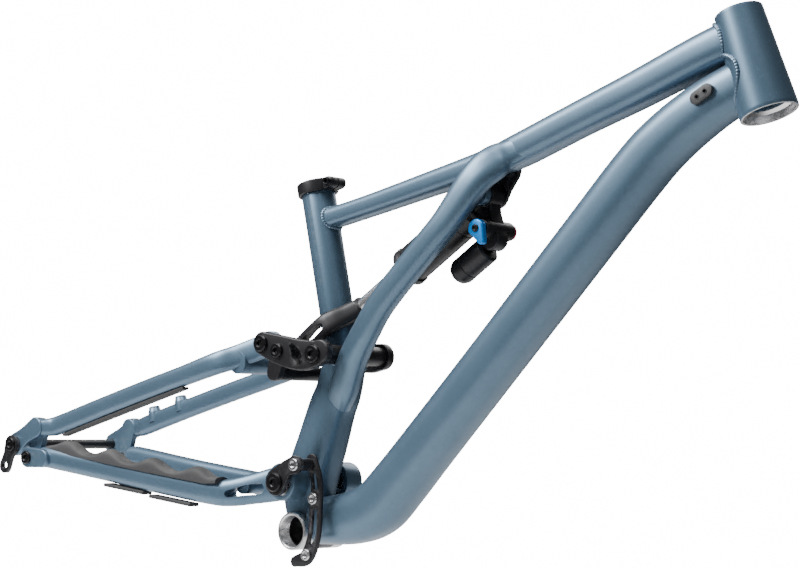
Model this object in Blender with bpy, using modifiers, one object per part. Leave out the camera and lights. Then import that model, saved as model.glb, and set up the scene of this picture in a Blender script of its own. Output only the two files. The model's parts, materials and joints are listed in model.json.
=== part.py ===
"""Full-suspension mountain bike frame as an assembly of separate parts.

The origin is the centre of the bottom bracket. X points forwards, Y to the rider's left, Z up.
Sizes are in millimetres and become metres where a mesh is made.
"""

import math

import bmesh
import bpy
from mathutils import Vector

MM = 0.001
GAP = 0.35
FULL_TURN = 2 * math.pi
SECTION_POWER = 2.6
TUBE_SIDES = 16
TURN_STEPS = 20

# Pivots and wheel axle in the side view: X, Z.
MAIN_PIVOT = (-6.0, 54.4)
REAR_PIVOT = (-408.0, 18.4)
LINK_REAR = (-56.0, 202.4)
LINK_FRONT = (24.0, 200.4)
YOKE_PIVOT = (-30.0, 197.3)
SHOCK_EYE = (195.3, 390.8)
WHEEL_AXLE = (-437.0, 30.0)
DROPOUT_JOINT = (-403.0, 56.0)
DIAL_CENTRE = (206.0, 355.0)
CROSSBAR = (-34.0, 172.0)
GUIDE_BOLT = (20.0, 78.0)

# Head tube, bottom bracket and seat tube.
HEAD_FOOT = Vector((518.0, 0.0, 491.1))
HEAD_UP = Vector((-0.4409, 0.0, 0.8976))
HEAD_LENGTH = 106.9
BB_RADIUS = 21.0
BB_BORE = 17.3
BB_HALF_WIDTH = 36.5
SEAT_FOOT = Vector((17.6, 0.0, 191.5))
SEAT_TOP = Vector((-56.0, 0.0, 388.0))
SEAT_RADIUS = 19.3
SEAT_BORE = 17.4
TUBE_WALL = 2.0

# Half widths across the frame, Y.
HUB_INNER = 31.0
HUB_OUTER = 57.0
LINK_INNER = 50.0
LINK_OUTER = 60.0
LUG_INNER = 38.0
LUG_OUTER = 49.2
DROPOUT_INNER = 74.0
DROPOUT_OUTER = 84.0
TAB_INNER = 68.0
TAB_OUTER = 76.5
BOSS_INNER = 77.0
BOSS_OUTER = 86.0
AXLE_RADIUS = 6.0

# Tube stations: X, Y, Z, half height in the side view, half width across.
TOP_TUBE = [
    (-40, 0, 345, 12, 14), (29, 0, 368, 12, 14), (111, 0, 397, 13, 15), (190, 0, 425, 14.5, 17),
    (228, 0, 440, 17.5, 19), (300, 0, 476, 17.5, 19), (368, 0, 509, 18.5, 20),
    (434, 0, 543, 19.5, 21), (472, 0, 561, 20, 20),
]
DOWN_TUBE = [
    (492, 0, 522, 23, 22), (447, 0, 493, 25, 26), (410, 0, 462, 26.5, 27), (380, 0, 428, 27.5, 27),
    (319, 0, 345, 27.5, 27.5), (222, 0, 213, 27.5, 28), (153, 0, 120, 28, 29),
    (118, 0, 73, 29, 29.5), (92, 0, 42, 30, 29.5), (60, 0, 25, 29, 29), (14, 0, 13, 26, 28),
]
SEAT_LUG = [
    (18, 0, 190, 22.5, 22.5), (14, 0, 160, 24, 24), (7, 0, 137, 25, 25), (-1, 0, 100, 26, 27),
    (-9, 0, 67, 27, 28), (-12, 0, 40, 26, 28), (-6, 0, 16, 22, 28), (0, 0, 4, 17, 27),
]
SIDEARM = [
    (226, -12, 436, 15, 10), (212, -22, 424, 19, 12), (197, -31, 404, 18, 12.5),
    (171, -36, 360, 15.5, 12.5), (145, -37, 327, 15, 12.5), (97, -36.5, 268, 15, 12.5),
    (75, -34, 233, 15.5, 12.5), (54, -27, 200, 17, 12.5), (40, -20, 168, 18, 12), (28, -14, 150, 18, 10),
]
CHAINSTAY = [
    (-392, 72, 21, 12, 11), (-375, 71, 22.5, 13, 10), (-277, 67, 23.5, 13, 9.5), (-200, 67, 24.5, 13.5, 9.5),
    (-103, 66, 27, 14, 9.5), (-75, 61, 31, 15.5, 9.5), (-50, 53, 39, 17, 9), (-25, 46, 48, 19, 9),
    (-8, 44, 54, 19, 9),
]
SEATSTAY = [
    (-403, 77, 56, 10, 7), (-385, 74, 59, 11, 7), (-366, 70, 66, 12, 7.5), (-297, 69, 96, 12, 7.5),
    (-214, 69, 131, 12, 7.5), (-165, 69, 151, 12, 7.5), (-119, 66, 171, 13, 7.5), (-97, 55, 182, 13.5, 6.5),
    (-76, 45.4, 194, 13.5, 4.6), (-58, 43.6, 202, 12.5, 4.8),
]

PAINT = ("frame_paint", (0.24, 0.30, 0.37), 0.35, 0.6)
BLACK = ("black_anodised", (0.035, 0.034, 0.036), 0.45, 0.3)
ALLOY = ("raw_alloy", (0.75, 0.75, 0.76), 0.3, 1.0)
RUBBER = ("black_rubber", (0.02, 0.02, 0.022), 0.75, 0.0)
PLASTIC = ("black_plastic", (0.03, 0.03, 0.032), 0.55, 0.0)
STEEL = ("steel_bolt", (0.6, 0.6, 0.61), 0.28, 1.0)
BLUE = ("blue_anodised", (0.01, 0.3, 0.65), 0.3, 0.8)
RED = ("red_anodised", (0.5, 0.02, 0.08), 0.3, 0.8)

# Names of the parts that move about each axis.
MOVING = {
    MAIN_PIVOT: ("chainstay_", "lower_guard_", "pivot_bearing_", "rear_pivot_bolt_"),
    REAR_PIVOT: ("seatstay_", "dropout_", "rear_axle", "derailleur_hanger", "hanger_bolt"),
    LINK_FRONT: ("link_plate_", "link_crossbar", "link_rear_", "link_yoke_", "link_front_"),
    SHOCK_EYE: ("shock_air_can", "shock_head", "shock_reservoir"),
    YOKE_PIVOT: ("shock_shaft", "shock_yoke"),
    DIAL_CENTRE: ("compression_lever", "rebound_dial"),
}

# Parts whose many joined shapes the EXACT solver leaves open.
MANIFOLD_PARTS = ("chainstay_", "seatstay_")

COLLECTIONS = {}


def clear_scene():
    """Remove every object, then make the two collections."""
    for old in list(bpy.data.objects):
        bpy.data.objects.remove(old, do_unlink=True)
    for name in ("bicycle_frame", "cutters"):
        COLLECTIONS[name] = bpy.data.collections.new(name)
        bpy.context.scene.collection.children.link(COLLECTIONS[name])


def material(finish):
    """Return the Principled material of a finish, made once."""
    name, colour, roughness, metallic = finish
    found = bpy.data.materials.get(name)
    if found:
        return found
    made = bpy.data.materials.new(name)
    made.use_nodes = True
    shader = made.node_tree.nodes["Principled BSDF"]
    shader.inputs["Base Color"].default_value = (*colour, 1.0)
    shader.inputs["Roughness"].default_value = roughness
    shader.inputs["Metallic"].default_value = metallic
    return made


def add_part(name, mesh, finish):
    """Put a mesh in the scene as a named part, or as a hidden cutter where it has no finish."""
    part = bpy.data.objects.new(name, mesh)
    COLLECTIONS["bicycle_frame" if finish else "cutters"].objects.link(part)
    if finish:
        mesh.materials.append(material(finish))
        mesh.shade_smooth()
        mesh.set_sharp_from_angle(angle=math.radians(35))
    else:
        part.hide_render = True
        part.display_type = "WIRE"
    return part


def boolean(part, operation, *others):
    """Cut or join with other objects, which become hidden helpers."""
    for other in others:
        step = part.modifiers.new(operation.lower() + " " + other.name, "BOOLEAN")
        step.operation = operation
        step.solver = "MANIFOLD" if part.name.startswith(MANIFOLD_PARTS) else "EXACT"
        step.object = other
    return part


def cut(part, *others):
    return boolean(part, "DIFFERENCE", *others)


def join(part, *others):
    return boolean(part, "UNION", *others)


def section(centre, along, half_height, half_width, sides):
    """Points of one superellipse section square to the path."""
    across = Vector((0, 1, 0))
    across = (across - along * across.dot(along)).normalized()
    upright = along.cross(across)
    ring = []
    for i in range(sides):
        angle = FULL_TURN * i / sides
        c, s = math.cos(angle), math.sin(angle)
        u = math.copysign(abs(c) ** (2 / SECTION_POWER), c) * half_width
        v = math.copysign(abs(s) ** (2 / SECTION_POWER), s) * half_height
        ring.append((centre + across * u + upright * v) * MM)
    return ring


def loft(name, stations, finish=None, wall=0.0, grow=0.0, sides=TUBE_SIDES):
    """Skin a row of sections; with a wall it is a tube with open ends."""
    centres = [Vector(s[:3]) for s in stations]
    last = len(centres) - 1
    shape = bmesh.new()
    skins = []
    for inset in (0.0, wall) if wall else (0.0,):
        rings = []
        for i, (centre, station) in enumerate(zip(centres, stations)):
            along = (centres[min(i + 1, last)] - centres[max(i - 1, 0)]).normalized()
            offset = grow - inset
            points = section(centre, along, station[3] + offset, station[4] + offset, sides)
            rings.append([shape.verts.new(p) for p in points])
        for low, high in zip(rings, rings[1:]):
            for j in range(sides):
                k = (j + 1) % sides
                shape.faces.new((low[j], low[k], high[k], high[j]))
        skins.append(rings)
    for end in (0, -1):
        if wall:
            for j in range(sides):
                k = (j + 1) % sides
                outer, inner = skins[0][end], skins[1][end]
                shape.faces.new((outer[j], outer[k], inner[k], inner[j]))
        else:
            shape.faces.new(skins[0][end])
    bmesh.ops.recalc_face_normals(shape, faces=shape.faces)
    mesh = bpy.data.meshes.new(name)
    shape.to_mesh(mesh)
    shape.free()
    return add_part(name, mesh, finish)


def turned(name, profile, foot, up, finish=None, steps=TURN_STEPS):
    """Turn a profile of (radius, height) about an axis; it runs down the outer side first."""
    mesh = bpy.data.meshes.new(name)
    count = len(profile)
    closed = min(r for r, _ in profile) > 0
    edges = [(i, (i + 1) % count) for i in range(count if closed else count - 1)]
    mesh.from_pydata([(r * MM, 0, h * MM) for r, h in profile], edges, [])
    part = add_part(name, mesh, finish)
    part.location = Vector(foot) * MM
    part.rotation_euler = Vector(up).to_track_quat("Z", "Y").to_euler()
    screw = part.modifiers.new("turn", "SCREW")
    screw.steps = steps
    screw.render_steps = steps
    screw.use_merge_vertices = True
    screw.merge_threshold = 0.00001
    screw.use_smooth_shade = True
    return part


def rod(name, x, z, radius, y0, y1, finish=None, steps=TURN_STEPS):
    """A solid cylinder across the frame from y0 to y1."""
    low, high = min(y0, y1), max(y0, y1)
    length = high - low
    profile = [(0, length), (radius, length), (radius, 0), (0, 0)]
    return turned(name, profile, (x, low, z), (0, 1, 0), finish, steps)


def ring(name, x, z, inner, outer, y0, y1, finish=None, steps=TURN_STEPS):
    """A ring across the frame from y0 to y1."""
    low, high = min(y0, y1), max(y0, y1)
    length = high - low
    profile = [(outer, length), (outer, 0), (inner, 0), (inner, length)]
    return turned(name, profile, (x, low, z), (0, 1, 0), finish, steps)


def stroke(circles, steps=7):
    """Outline of a band that runs through circles of X, Z and radius, with round ends."""
    points = [Vector((c[0], c[1])) for c in circles]
    last = len(points) - 1
    swing = math.pi / steps
    left, right = [], []
    for i, (centre, circle) in enumerate(zip(points, circles)):
        along = (points[min(i + 1, last)] - points[max(i - 1, 0)]).normalized()
        side = Vector((-along.y, along.x))
        left.append(centre + side * circle[2])
        right.append(centre - side * circle[2])

    def cap(circle, start):
        centre = Vector((circle[0], circle[1]))
        return [
            centre + circle[2] * Vector((math.cos(start - swing * k), math.sin(start - swing * k)))
            for k in range(1, steps)
        ]

    first_side = left[0] - points[0]
    last_side = left[-1] - points[-1]
    end_cap = cap(circles[-1], math.atan2(last_side.y, last_side.x))
    start_cap = cap(circles[0], math.atan2(-first_side.y, -first_side.x))
    return left + end_cap + right[::-1] + start_cap


def plate(name, outline, y0, y1, finish=None):
    """A flat plate: a filled curve in the side view, given its thickness across the frame."""
    curve = bpy.data.curves.new(name, "CURVE")
    curve.dimensions = "2D"
    curve.fill_mode = "BOTH"
    curve.extrude = abs(y1 - y0) / 2 * MM
    spline = curve.splines.new("POLY")
    spline.points.add(len(outline) - 1)
    for point, (x, z) in zip(spline.points, outline):
        point.co = (x * MM, z * MM, 0, 1)
    spline.use_cyclic_u = True
    guide = bpy.data.objects.new(name + " outline", curve)
    bpy.context.scene.collection.objects.link(guide)
    bpy.context.view_layer.update()
    mesh = bpy.data.meshes.new_from_object(guide.evaluated_get(bpy.context.evaluated_depsgraph_get()))
    bpy.data.objects.remove(guide, do_unlink=True)
    mesh.name = name
    shape = bmesh.new()
    shape.from_mesh(mesh)
    bmesh.ops.remove_doubles(shape, verts=shape.verts, dist=0.000001)
    bmesh.ops.recalc_face_normals(shape, faces=shape.faces)
    shape.to_mesh(mesh)
    shape.free()
    part = add_part(name, mesh, finish)
    part.rotation_euler = (math.pi / 2, 0, 0)
    part.location = (0, (y0 + y1) / 2 * MM, 0)
    return part


def block(name, centre, size, finish=None, turn=0.0):
    """A box turned in the side view about Y."""
    bpy.ops.mesh.primitive_cube_add(size=1)
    made = bpy.context.object
    mesh = made.data
    bpy.data.objects.remove(made, do_unlink=True)
    for vertex in mesh.vertices:
        vertex.co = [c * s * MM for c, s in zip(vertex.co, size)]
    mesh.name = name
    part = add_part(name, mesh, finish)
    part.rotation_euler = (0, turn, 0)
    part.location = Vector(centre) * MM
    return part


def mirrored(stations, side):
    """Stations of the stay on one side: -1 is the drive side, 1 the left."""
    return [(x, y * side, z, a, b) for x, y, z, a, b in stations]


def shock_point(distance, below=0.0):
    """X, Z of a point on the shock, by its distance from the front eye and how far below the axis."""
    span = Vector((YOKE_PIVOT[0] - SHOCK_EYE[0], YOKE_PIVOT[1] - SHOCK_EYE[1])).normalized()
    down = Vector((-span.y, span.x))
    if down.y > 0:
        down = -down
    return Vector(SHOCK_EYE) + span * distance + down * below


def shock_turned(name, profile, finish, start=0.0, below=0.0, steps=TURN_STEPS):
    """Turn a profile about the shock's axis; heights run from the front eye towards the yoke."""
    foot = shock_point(start, below)
    direction = Vector(YOKE_PIVOT) - Vector(SHOCK_EYE)
    return turned(name, profile, (foot.x, 0, foot.y), (direction.x, 0, direction.y), finish, steps)


def make_spaces():
    """Solid tubes, a little larger than the real ones, that mitre their neighbours."""
    spaces = {
        "top": loft("top tube space", TOP_TUBE, grow=GAP),
        "down": loft("down tube space", DOWN_TUBE, grow=GAP),
        "lug": loft("seat lug space", SEAT_LUG, grow=GAP),
        "bb": rod("bottom bracket space", 0, 0, BB_RADIUS + GAP, -70, 70, None, 28),
        "main": rod("main pivot space", *MAIN_PIVOT, 8.4, -70, 70),
        "link": rod("link pivot space", *LINK_FRONT, 7.4, -70, 70),
    }
    profile = [(0, 140), (23.5, 140), (24.15, 106.9), (29.15, 0), (29.5, -20), (0, -20)]
    spaces["head"] = turned("head tube space", profile, HEAD_FOOT, HEAD_UP, None, 28)
    length = (SEAT_TOP - SEAT_FOOT).length
    profile = [(0, length), (SEAT_RADIUS + GAP, length), (SEAT_RADIUS + GAP, -GAP), (0, -GAP)]
    spaces["seat"] = turned("seat tube space", profile, SEAT_FOOT, SEAT_TOP - SEAT_FOOT)
    return spaces


def make_main_tubes(spaces):
    """The welded front triangle."""
    profile = [
        (23.8, HEAD_LENGTH), (28.8, 3), (28.8, 0), (26, 0), (26, 9), (22, 12),
        (20.5, 94), (21.6, 98), (21.6, HEAD_LENGTH),
    ]
    turned("head_tube", profile, HEAD_FOOT, HEAD_UP, PAINT, 28)
    ring("bb_shell", 0, 0, BB_BORE, BB_RADIUS, -BB_HALF_WIDTH, BB_HALF_WIDTH, ALLOY, 28)
    length = (SEAT_TOP - SEAT_FOOT).length
    profile = [(SEAT_RADIUS, length), (SEAT_RADIUS, 0), (SEAT_BORE, 0), (SEAT_BORE, length)]
    upper = turned("seat_tube_upper", profile, SEAT_FOOT, SEAT_TOP - SEAT_FOOT, PAINT)
    slit_centre = SEAT_TOP + (SEAT_FOOT - SEAT_TOP).normalized() * 8
    cut(upper, spaces["link"], block("seat tube slit", slit_centre + Vector((0, -19, 0)), (2, 12, 28)))
    cut(loft("top_tube", TOP_TUBE, PAINT, TUBE_WALL), spaces["head"], spaces["seat"])
    lug = loft("seat_tube_lower", SEAT_LUG, PAINT, 3.0)
    cut(lug, spaces["bb"], spaces["seat"], spaces["main"], spaces["link"])
    cut(loft("down_tube", DOWN_TUBE, PAINT, TUBE_WALL), spaces["head"], spaces["bb"], spaces["lug"])
    strut = loft("sidearm_strut", SIDEARM, PAINT)
    bolt_space = rod("shock bolt space", *SHOCK_EYE, 6.4, -60, 40)
    boss_space = rod("link boss space", *LINK_FRONT, 11.4, -70, 0)
    cut(strut, spaces["top"], spaces["lug"], spaces["seat"], boss_space, bolt_space)


def make_shock_mounts(spaces):
    """Bracket, boss and bolt that hold the shock's front eye."""
    ring("shock_mount_boss", *SHOCK_EYE, 6.4, 11, -18.2, -11.2, PAINT)
    outline = stroke([(*SHOCK_EYE, 12.5), (199, 403, 13), (207, 420, 14)])
    bracket = plate("shock_bracket", outline, 11.8, 16.8, BLACK)
    cut(bracket, spaces["top"], rod("bracket bolt space", *SHOCK_EYE, 6.4, 8, 30))
    bolt = rod("shock_mount_bolt", *SHOCK_EYE, AXLE_RADIUS, -42, 17.4, STEEL)
    join(bolt, rod("shock bolt head", *SHOCK_EYE, 9, 17.3, 21.5))


def make_seat_clamp():
    """Clamp band at the top of the seat tube, with its bolt across the front."""
    axis = (SEAT_TOP - SEAT_FOOT).normalized()
    foot = SEAT_TOP - axis * 14.5
    profile = [(23.2, 14), (23.2, 1), (22.4, 0), (SEAT_RADIUS + GAP, 0), (SEAT_RADIUS + GAP, 14)]
    band = turned("seat_clamp_band", profile, foot, axis, BLACK, 24)
    front = axis.cross(Vector((0, 1, 0))) * -1
    if front.x < 0:
        front = -front
    ear = foot + axis * 7 + front * 27.5
    turn = math.atan2(axis.x, axis.z)
    join(band, block("clamp ears", ear, (12, 25, 12), turn=turn))
    bolt_at = ear + front * 0.5
    slot = block("clamp slot", ear - front * 3, (24, 2.4, 40), turn=turn)
    cut(band, slot, rod("clamp bolt space", bolt_at.x, bolt_at.z, 2.9, -20, 20))
    bolt = rod("seat_clamp_bolt", bolt_at.x, bolt_at.z, 2.5, -13.2, 12, STEEL)
    join(bolt, rod("clamp bolt head", bolt_at.x, bolt_at.z, 5, -18, -12.8))


def make_small_fittings():
    """Cable ports beside the head tube and bottle bosses on the down tube."""
    for name, side in (("cable_port_drive", -1), ("cable_port_left", 1)):
        outline = stroke([(452, 500, 6.5), (463, 508, 6.5)])
        plate(name, outline, side * 27.6, side * 29.2, PLASTIC)
    surface = Vector((-0.806, 0, 0.592))
    for name, x, z in (("bottle_boss_lower", 130, 89.2), ("bottle_boss_upper", 184, 161.6)):
        foot = Vector((x, 0, z)) + surface * (28.5 + GAP)
        turned(name, [(0, 4), (4.2, 4), (5.5, 2.5), (5.5, 0), (0, 0)], foot, surface, STEEL, 20)


def make_chain_guide():
    """Backplate on the bottom bracket, top guide on the main pivot and the bolts between them."""
    outline = stroke([(22, 82, 8), (33, 60, 8), (36, 32, 9), (38, 2, 9), (31, -22, 9), (14, -31, 6)])
    back = plate("guide_backplate", outline, -41, -37.6, BLACK)
    upper, lower = (32, 42), (31, -20)
    places = (upper, lower, GUIDE_BOLT)
    holes = [rod(f"guide hole {i}", x, z, 4.4, -50, -30) for i, (x, z) in enumerate(places)]
    cut(back, *holes)
    for name, (x, z) in (("iscg_bolt_upper", upper), ("iscg_bolt_lower", lower)):
        bolt = rod(name, x, z, 4, -41.4, -31, STEEL, 20)
        join(bolt, rod(name + " head", x, z, 6.5, -44.5, -41.3, steps=20))
    wing_outline = stroke([(*MAIN_PIVOT, 15), (8, 72, 9), (*GUIDE_BOLT, 10)])
    wing = plate("guide_outer_plate", wing_outline, -65, -60, BLACK)
    wing_hole = rod("wing hole", *GUIDE_BOLT, 4.4, -70, -40)
    join(wing, rod("guide spacer", *GUIDE_BOLT, 7, -60.5, -41.4))
    cut(wing, rod("wing pivot space", *MAIN_PIVOT, 8.4, -70, -50), wing_hole)
    bolt = rod("guide_bolt", *GUIDE_BOLT, 4, -65.4, -36, STEEL, 20)
    join(bolt, rod("guide bolt head", *GUIDE_BOLT, 7, -68.5, -65.3, steps=20))


def make_frame_axles():
    """Main pivot axle and the axle of the link's front pivot, both held by the front triangle."""
    profile = [(0, 131), (12, 131), (12, 127), (8, 126.7), (8, 3), (11, 2.7), (11, 0.8), (10, 0), (0, 0)]
    turned("main_pivot_axle", profile, (MAIN_PIVOT[0], -69, MAIN_PIVOT[1]), (0, 1, 0), STEEL)
    half = LINK_OUTER - 0.5
    shoulder = LINK_INNER - 0.5
    waist = SEAT_RADIUS + 12
    profile = [
        (0, 2 * half), (7, 2 * half), (7, half + shoulder), (11, half + shoulder), (11, half + waist),
        (7, half + waist), (7, half - waist), (11, half - waist), (11, half - shoulder),
        (7, half - shoulder), (7, 0), (0, 0),
    ]
    turned("link_pivot_axle", profile, (LINK_FRONT[0], -half, LINK_FRONT[1]), (0, 1, 0), STEEL)


def make_chainstay(word, side):
    """One chainstay with its pivot hub, bearing, rear boss and rear pivot bolt."""
    stay = loft("chainstay_" + word, mirrored(CHAINSTAY, side), PAINT)
    hub = rod("hub " + word, *MAIN_PIVOT, 21, side * HUB_INNER, side * HUB_OUTER)
    boss_outline = stroke([(-382, 21, 11), (*REAR_PIVOT, 12.5)])
    boss = plate("boss " + word, boss_outline, side * BOSS_INNER, side * BOSS_OUTER)
    join(stay, hub, boss)
    window_outline = stroke([(-72, 30, 4), (-54, 37, 5.5), (-36, 42, 6.5)])
    window = plate("stay window " + word, window_outline, side * 20, side * 80)
    bore = rod("hub bore " + word, *MAIN_PIVOT, 15.3, side * 20, side * 80)
    tab_space = rod("tab space " + word, *REAR_PIVOT, 13, side * (TAB_INNER - 8), side * (BOSS_INNER + 0.1))
    bolt_space = rod("rear bolt space " + word, *REAR_PIVOT, 5.4, side * 60, side * 95)
    cut(stay, window, bore, tab_space, bolt_space)
    ring("pivot_bearing_" + word, *MAIN_PIVOT, 8.4, 15, side * 41, side * 56, ALLOY)
    bolt = rod("rear_pivot_bolt_" + word, *REAR_PIVOT, 5, side * (TAB_INNER + 1), side * 86.5, STEEL)
    join(bolt, rod("rear bolt head " + word, *REAR_PIVOT, 8, side * 86.4, side * 89.5))


def make_chainstay_guards():
    """Bridge between the chainstays and the rubber guards of the drive side."""
    bridge = rod("chainstay_bridge", -64, 42, 11, -62, 62, PAINT)
    for word, side in (("drive", -1), ("left", 1)):
        cut(bridge, loft("chainstay space " + word, mirrored(CHAINSTAY, side), grow=GAP))
    waves = 4
    start, end, steps = -386.0, -86.0, 34
    top = []
    for i in range(steps + 1):
        x = start + (end - start) * i / steps
        lift = 5 * (1 - math.cos(FULL_TURN * waves * i / steps))
        top.append((x, guard_base(x) + 2.6 + lift))
    bottom = [(x, guard_base(x) + 0.4) for x in (end, -200.0, -277.0, -375.0, start)]
    plate("chainstay_protector", top + bottom, -77, -58, RUBBER)
    for name, low, high in (("lower_guard_rear", -275.0, -205.0), ("lower_guard_front", -195.0, -125.0)):
        outline = [(low, 8.8), (high, 10.6), (high, 6.4), (low, 4.6)]
        plate(name, outline, -75, -60, RUBBER)


def guard_base(x):
    """Height of the top of the chainstay at X, following its stations."""
    stations = sorted((s[0], s[2] + s[3]) for s in CHAINSTAY)
    for (x0, z0), (x1, z1) in zip(stations, stations[1:]):
        if x0 <= x <= x1:
            return z0 + (z1 - z0) * (x - x0) / (x1 - x0)
    return stations[0][1]


def make_seatstay(word, side):
    """One seatstay with its front lug, bearing and dropout."""
    stay = loft("seatstay_" + word, mirrored(SEATSTAY, side), PAINT)
    lug = rod("lug " + word, *LINK_REAR, 14, side * LUG_INNER, side * LUG_OUTER)
    join(stay, lug)
    if side > 0:
        up = Vector((-0.38, 0, 0.925))
        for i, (x, z) in enumerate(((-352, 72), (-306, 92))):
            foot = Vector((x, 69, z))
            join(stay, turned(f"brake boss {i}", [(0, 19), (7, 19), (7, 0), (0, 0)], foot, up))
    bore = rod("lug bore " + word, *LINK_REAR, 10.8, side * 30, side * 60)
    cut(stay, bore, rod("dropout space " + word, *DROPOUT_JOINT, 15.2, side * 60, side * 95))
    ring("seatstay_bearing_" + word, *LINK_REAR, 6.5, 10.5, side * 39.5, side * 48.6, ALLOY)
    tab_outline = stroke([(*DROPOUT_JOINT, 12), (*REAR_PIVOT, 11)])
    tab = plate("tab " + word, tab_outline, side * TAB_INNER, side * TAB_OUTER)
    outline = stroke([(*WHEEL_AXLE, 14), (-420, 44, 11), (*DROPOUT_JOINT, 12.7)])
    dropout = plate("dropout_" + word, outline, side * DROPOUT_INNER, side * DROPOUT_OUTER, PAINT)
    join(dropout, tab)
    axle_hole = rod("axle hole " + word, *WHEEL_AXLE, AXLE_RADIUS + 0.4, side * 60, side * 95)
    cut(dropout, axle_hole, rod("tab hole " + word, *REAR_PIVOT, 5.4, side * 60, side * 95))


def make_rear_end():
    """Seatstay bridge, guard, through-axle and derailleur hanger."""
    bridge = rod("seatstay_bridge", -92, 176, 13, -60, 60, PAINT)
    for word, side in (("drive", -1), ("left", 1)):
        cut(bridge, loft("seatstay space " + word, mirrored(SEATSTAY, side), grow=GAP))
    below = Vector((0.395, -0.919))
    inner = [Vector((x, z)) + below * (half + 0.6) for x, _, z, half, _ in SEATSTAY[2:6]]
    outer = [point + below * 3.4 for point in reversed(inner)]
    plate("seatstay_protector", inner + outer, -74, -64, RUBBER)
    axle = rod("rear_axle", *WHEEL_AXLE, AXLE_RADIUS, -83.6, 84.5, BLACK)
    join(axle, rod("rear axle head", *WHEEL_AXLE, 9, 84.4, 89.5))
    outline = stroke([(*WHEEL_AXLE, 11.5), (-441, 16, 8), (-445, 2, 9)])
    hanger = plate("derailleur_hanger", outline, -89.5, -84.4, BLACK)
    cut(hanger, rod("hanger bolt space", *WHEEL_AXLE, 6.4, -95, -80))
    cut(hanger, rod("hanger hole", -444.5, 3.0, 5, -95, -80))
    bolt = rod("hanger_bolt", *WHEEL_AXLE, 6, -89.9, -84.2, STEEL)
    join(bolt, rod("hanger bolt head", *WHEEL_AXLE, 8.5, -92, -89.8))


def make_link():
    """Rocker: two plates, the bar between them and the bolts."""
    outline = stroke([(*LINK_REAR, 13), (-28, 198, 16.5), (4, 196.5, 17), (*LINK_FRONT, 16), (42, 208, 7)])
    for word, side in (("drive", -1), ("left", 1)):
        near, far = side * LINK_INNER, side * LINK_OUTER
        part = plate("link_plate_" + word, outline, near, far, BLACK)
        lobe = plate("lobe " + word, stroke([(-30, 194, 12), (*CROSSBAR, 9)]), near, far)
        join(part, lobe)
        window_outline = stroke([(-7, 204, 2.5), (0, 196, 6), (3, 190, 3)])
        window = plate("link window " + word, window_outline, side * 40, side * 70)
        holes = [
            rod("link front hole " + word, *LINK_FRONT, 7.4, side * 40, side * 70),
            rod("link yoke hole " + word, *YOKE_PIVOT, 5.4, side * 40, side * 70),
            rod("link rear hole " + word, *LINK_REAR, 5.4, side * 40, side * 70),
        ]
        cut(part, window, *holes)
        ends = (("link_rear_bolt_", LINK_REAR, 9, 5, 50.2), ("link_yoke_bolt_", YOKE_PIVOT, 8, 5, 36.6))
        for label, pivot, head, shank, inner in ends:
            bolt = rod(label + word, *pivot, shank, side * inner, side * (LINK_OUTER + 0.5), STEEL)
            cap_low = side * (LINK_OUTER + 0.4)
            join(bolt, rod("cap " + label + word, *pivot, head, cap_low, side * (LINK_OUTER + 4)))
        inner, outer = side * (LINK_OUTER + 0.4), side * (LINK_OUTER + 4)
        rod("link_front_cap_" + word, *LINK_FRONT, 10, inner, outer, STEEL)
    rod("link_crossbar", *CROSSBAR, 8, -(LINK_INNER - 0.3), LINK_INNER - 0.3, BLACK)


def make_shock():
    """Air can, head with its eye and side reservoir, shaft, yoke and the two dials."""
    bore = shock_turned("can bore", [(0, 140), (12.6, 140), (12.6, 68), (0, 68)], None)
    profile = [(0, 134), (22.5, 134), (22.5, 125), (21, 124), (21, 27), (18, 24), (18, 20), (0, 20)]
    cut(shock_turned("shock_air_can", profile, BLACK), bore)
    can_space = shock_turned("can space", [(0, 140), (21.4, 140), (21.4, 19.6), (0, 19.6)], None)
    head = rod("shock_head", *SHOCK_EYE, 12, -10.8, 10.8, BLACK)
    arm_points = [(*shock_point(4), 11), (*shock_point(12, 18), 11), (*shock_point(18, 40), 13)]
    neck = shock_turned("shock neck", [(0, 25), (10.7, 25), (10.7, 4), (0, 4)], None)
    valve = rod("valve body", *DIAL_CENTRE, 10.5, -23.8, 23.8)
    join(head, neck, plate("shock arm", stroke(arm_points), -9.5, 9.5), valve)
    cut(head, can_space, rod("eye bore", *SHOCK_EYE, 6.4, -20, 20))
    profile = [(0, 52), (10, 52), (14.5, 47), (14.5, 2), (13.5, 0), (0, 0)]
    shock_turned("shock_reservoir", profile, BLACK, start=32, below=46)
    shock_turned("shock_shaft", [(0, 205), (11, 205), (11, 118), (0, 118)], ALLOY)


def make_yoke():
    """Forked yoke that passes both sides of the seat tube."""
    yoke = shock_turned("shock_yoke", [(0, 222), (14, 222), (14, 208), (12, 205.5), (0, 205.5)], BLACK)
    for word, side in (("drive", -1), ("left", 1)):
        stations = []
        for distance, y, half_height, half_width in (
            (212, 7, 11, 8), (224, 15, 11.5, 7.5), (236, 24.5, 12.5, 6.5),
            (250, 29, 13, 6.5), (285, 29, 11.5, 6.5),
            (296, 29, 10, 6.5),
        ):
            at = shock_point(distance)
            stations.append((at.x, side * y, at.y, half_height, half_width))
        arm = loft("yoke arm " + word, stations, sides=12)
        eye = rod("yoke eye " + word, *YOKE_PIVOT, 12, side * 22.5, side * 35.8)
        join(yoke, arm, eye)
    window = stroke([(*shock_point(277), 3.5), (*shock_point(262), 5.5), (*shock_point(248), 4)])
    cut(yoke, plate("yoke window", window, -50, -15), rod("yoke bore", *YOKE_PIVOT, 5.4, -50, 50))


def make_dials():
    """The blue lever and the red dial at the ends of the valve body."""
    x, z = DIAL_CENTRE
    plate("compression_lever", stroke([(x, z, 10), (x + 8, z - 12, 4.5)]), -32, -24.3, BLUE)
    rod("rebound_dial", x, z, 9, 24.3, 29, RED)


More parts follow.
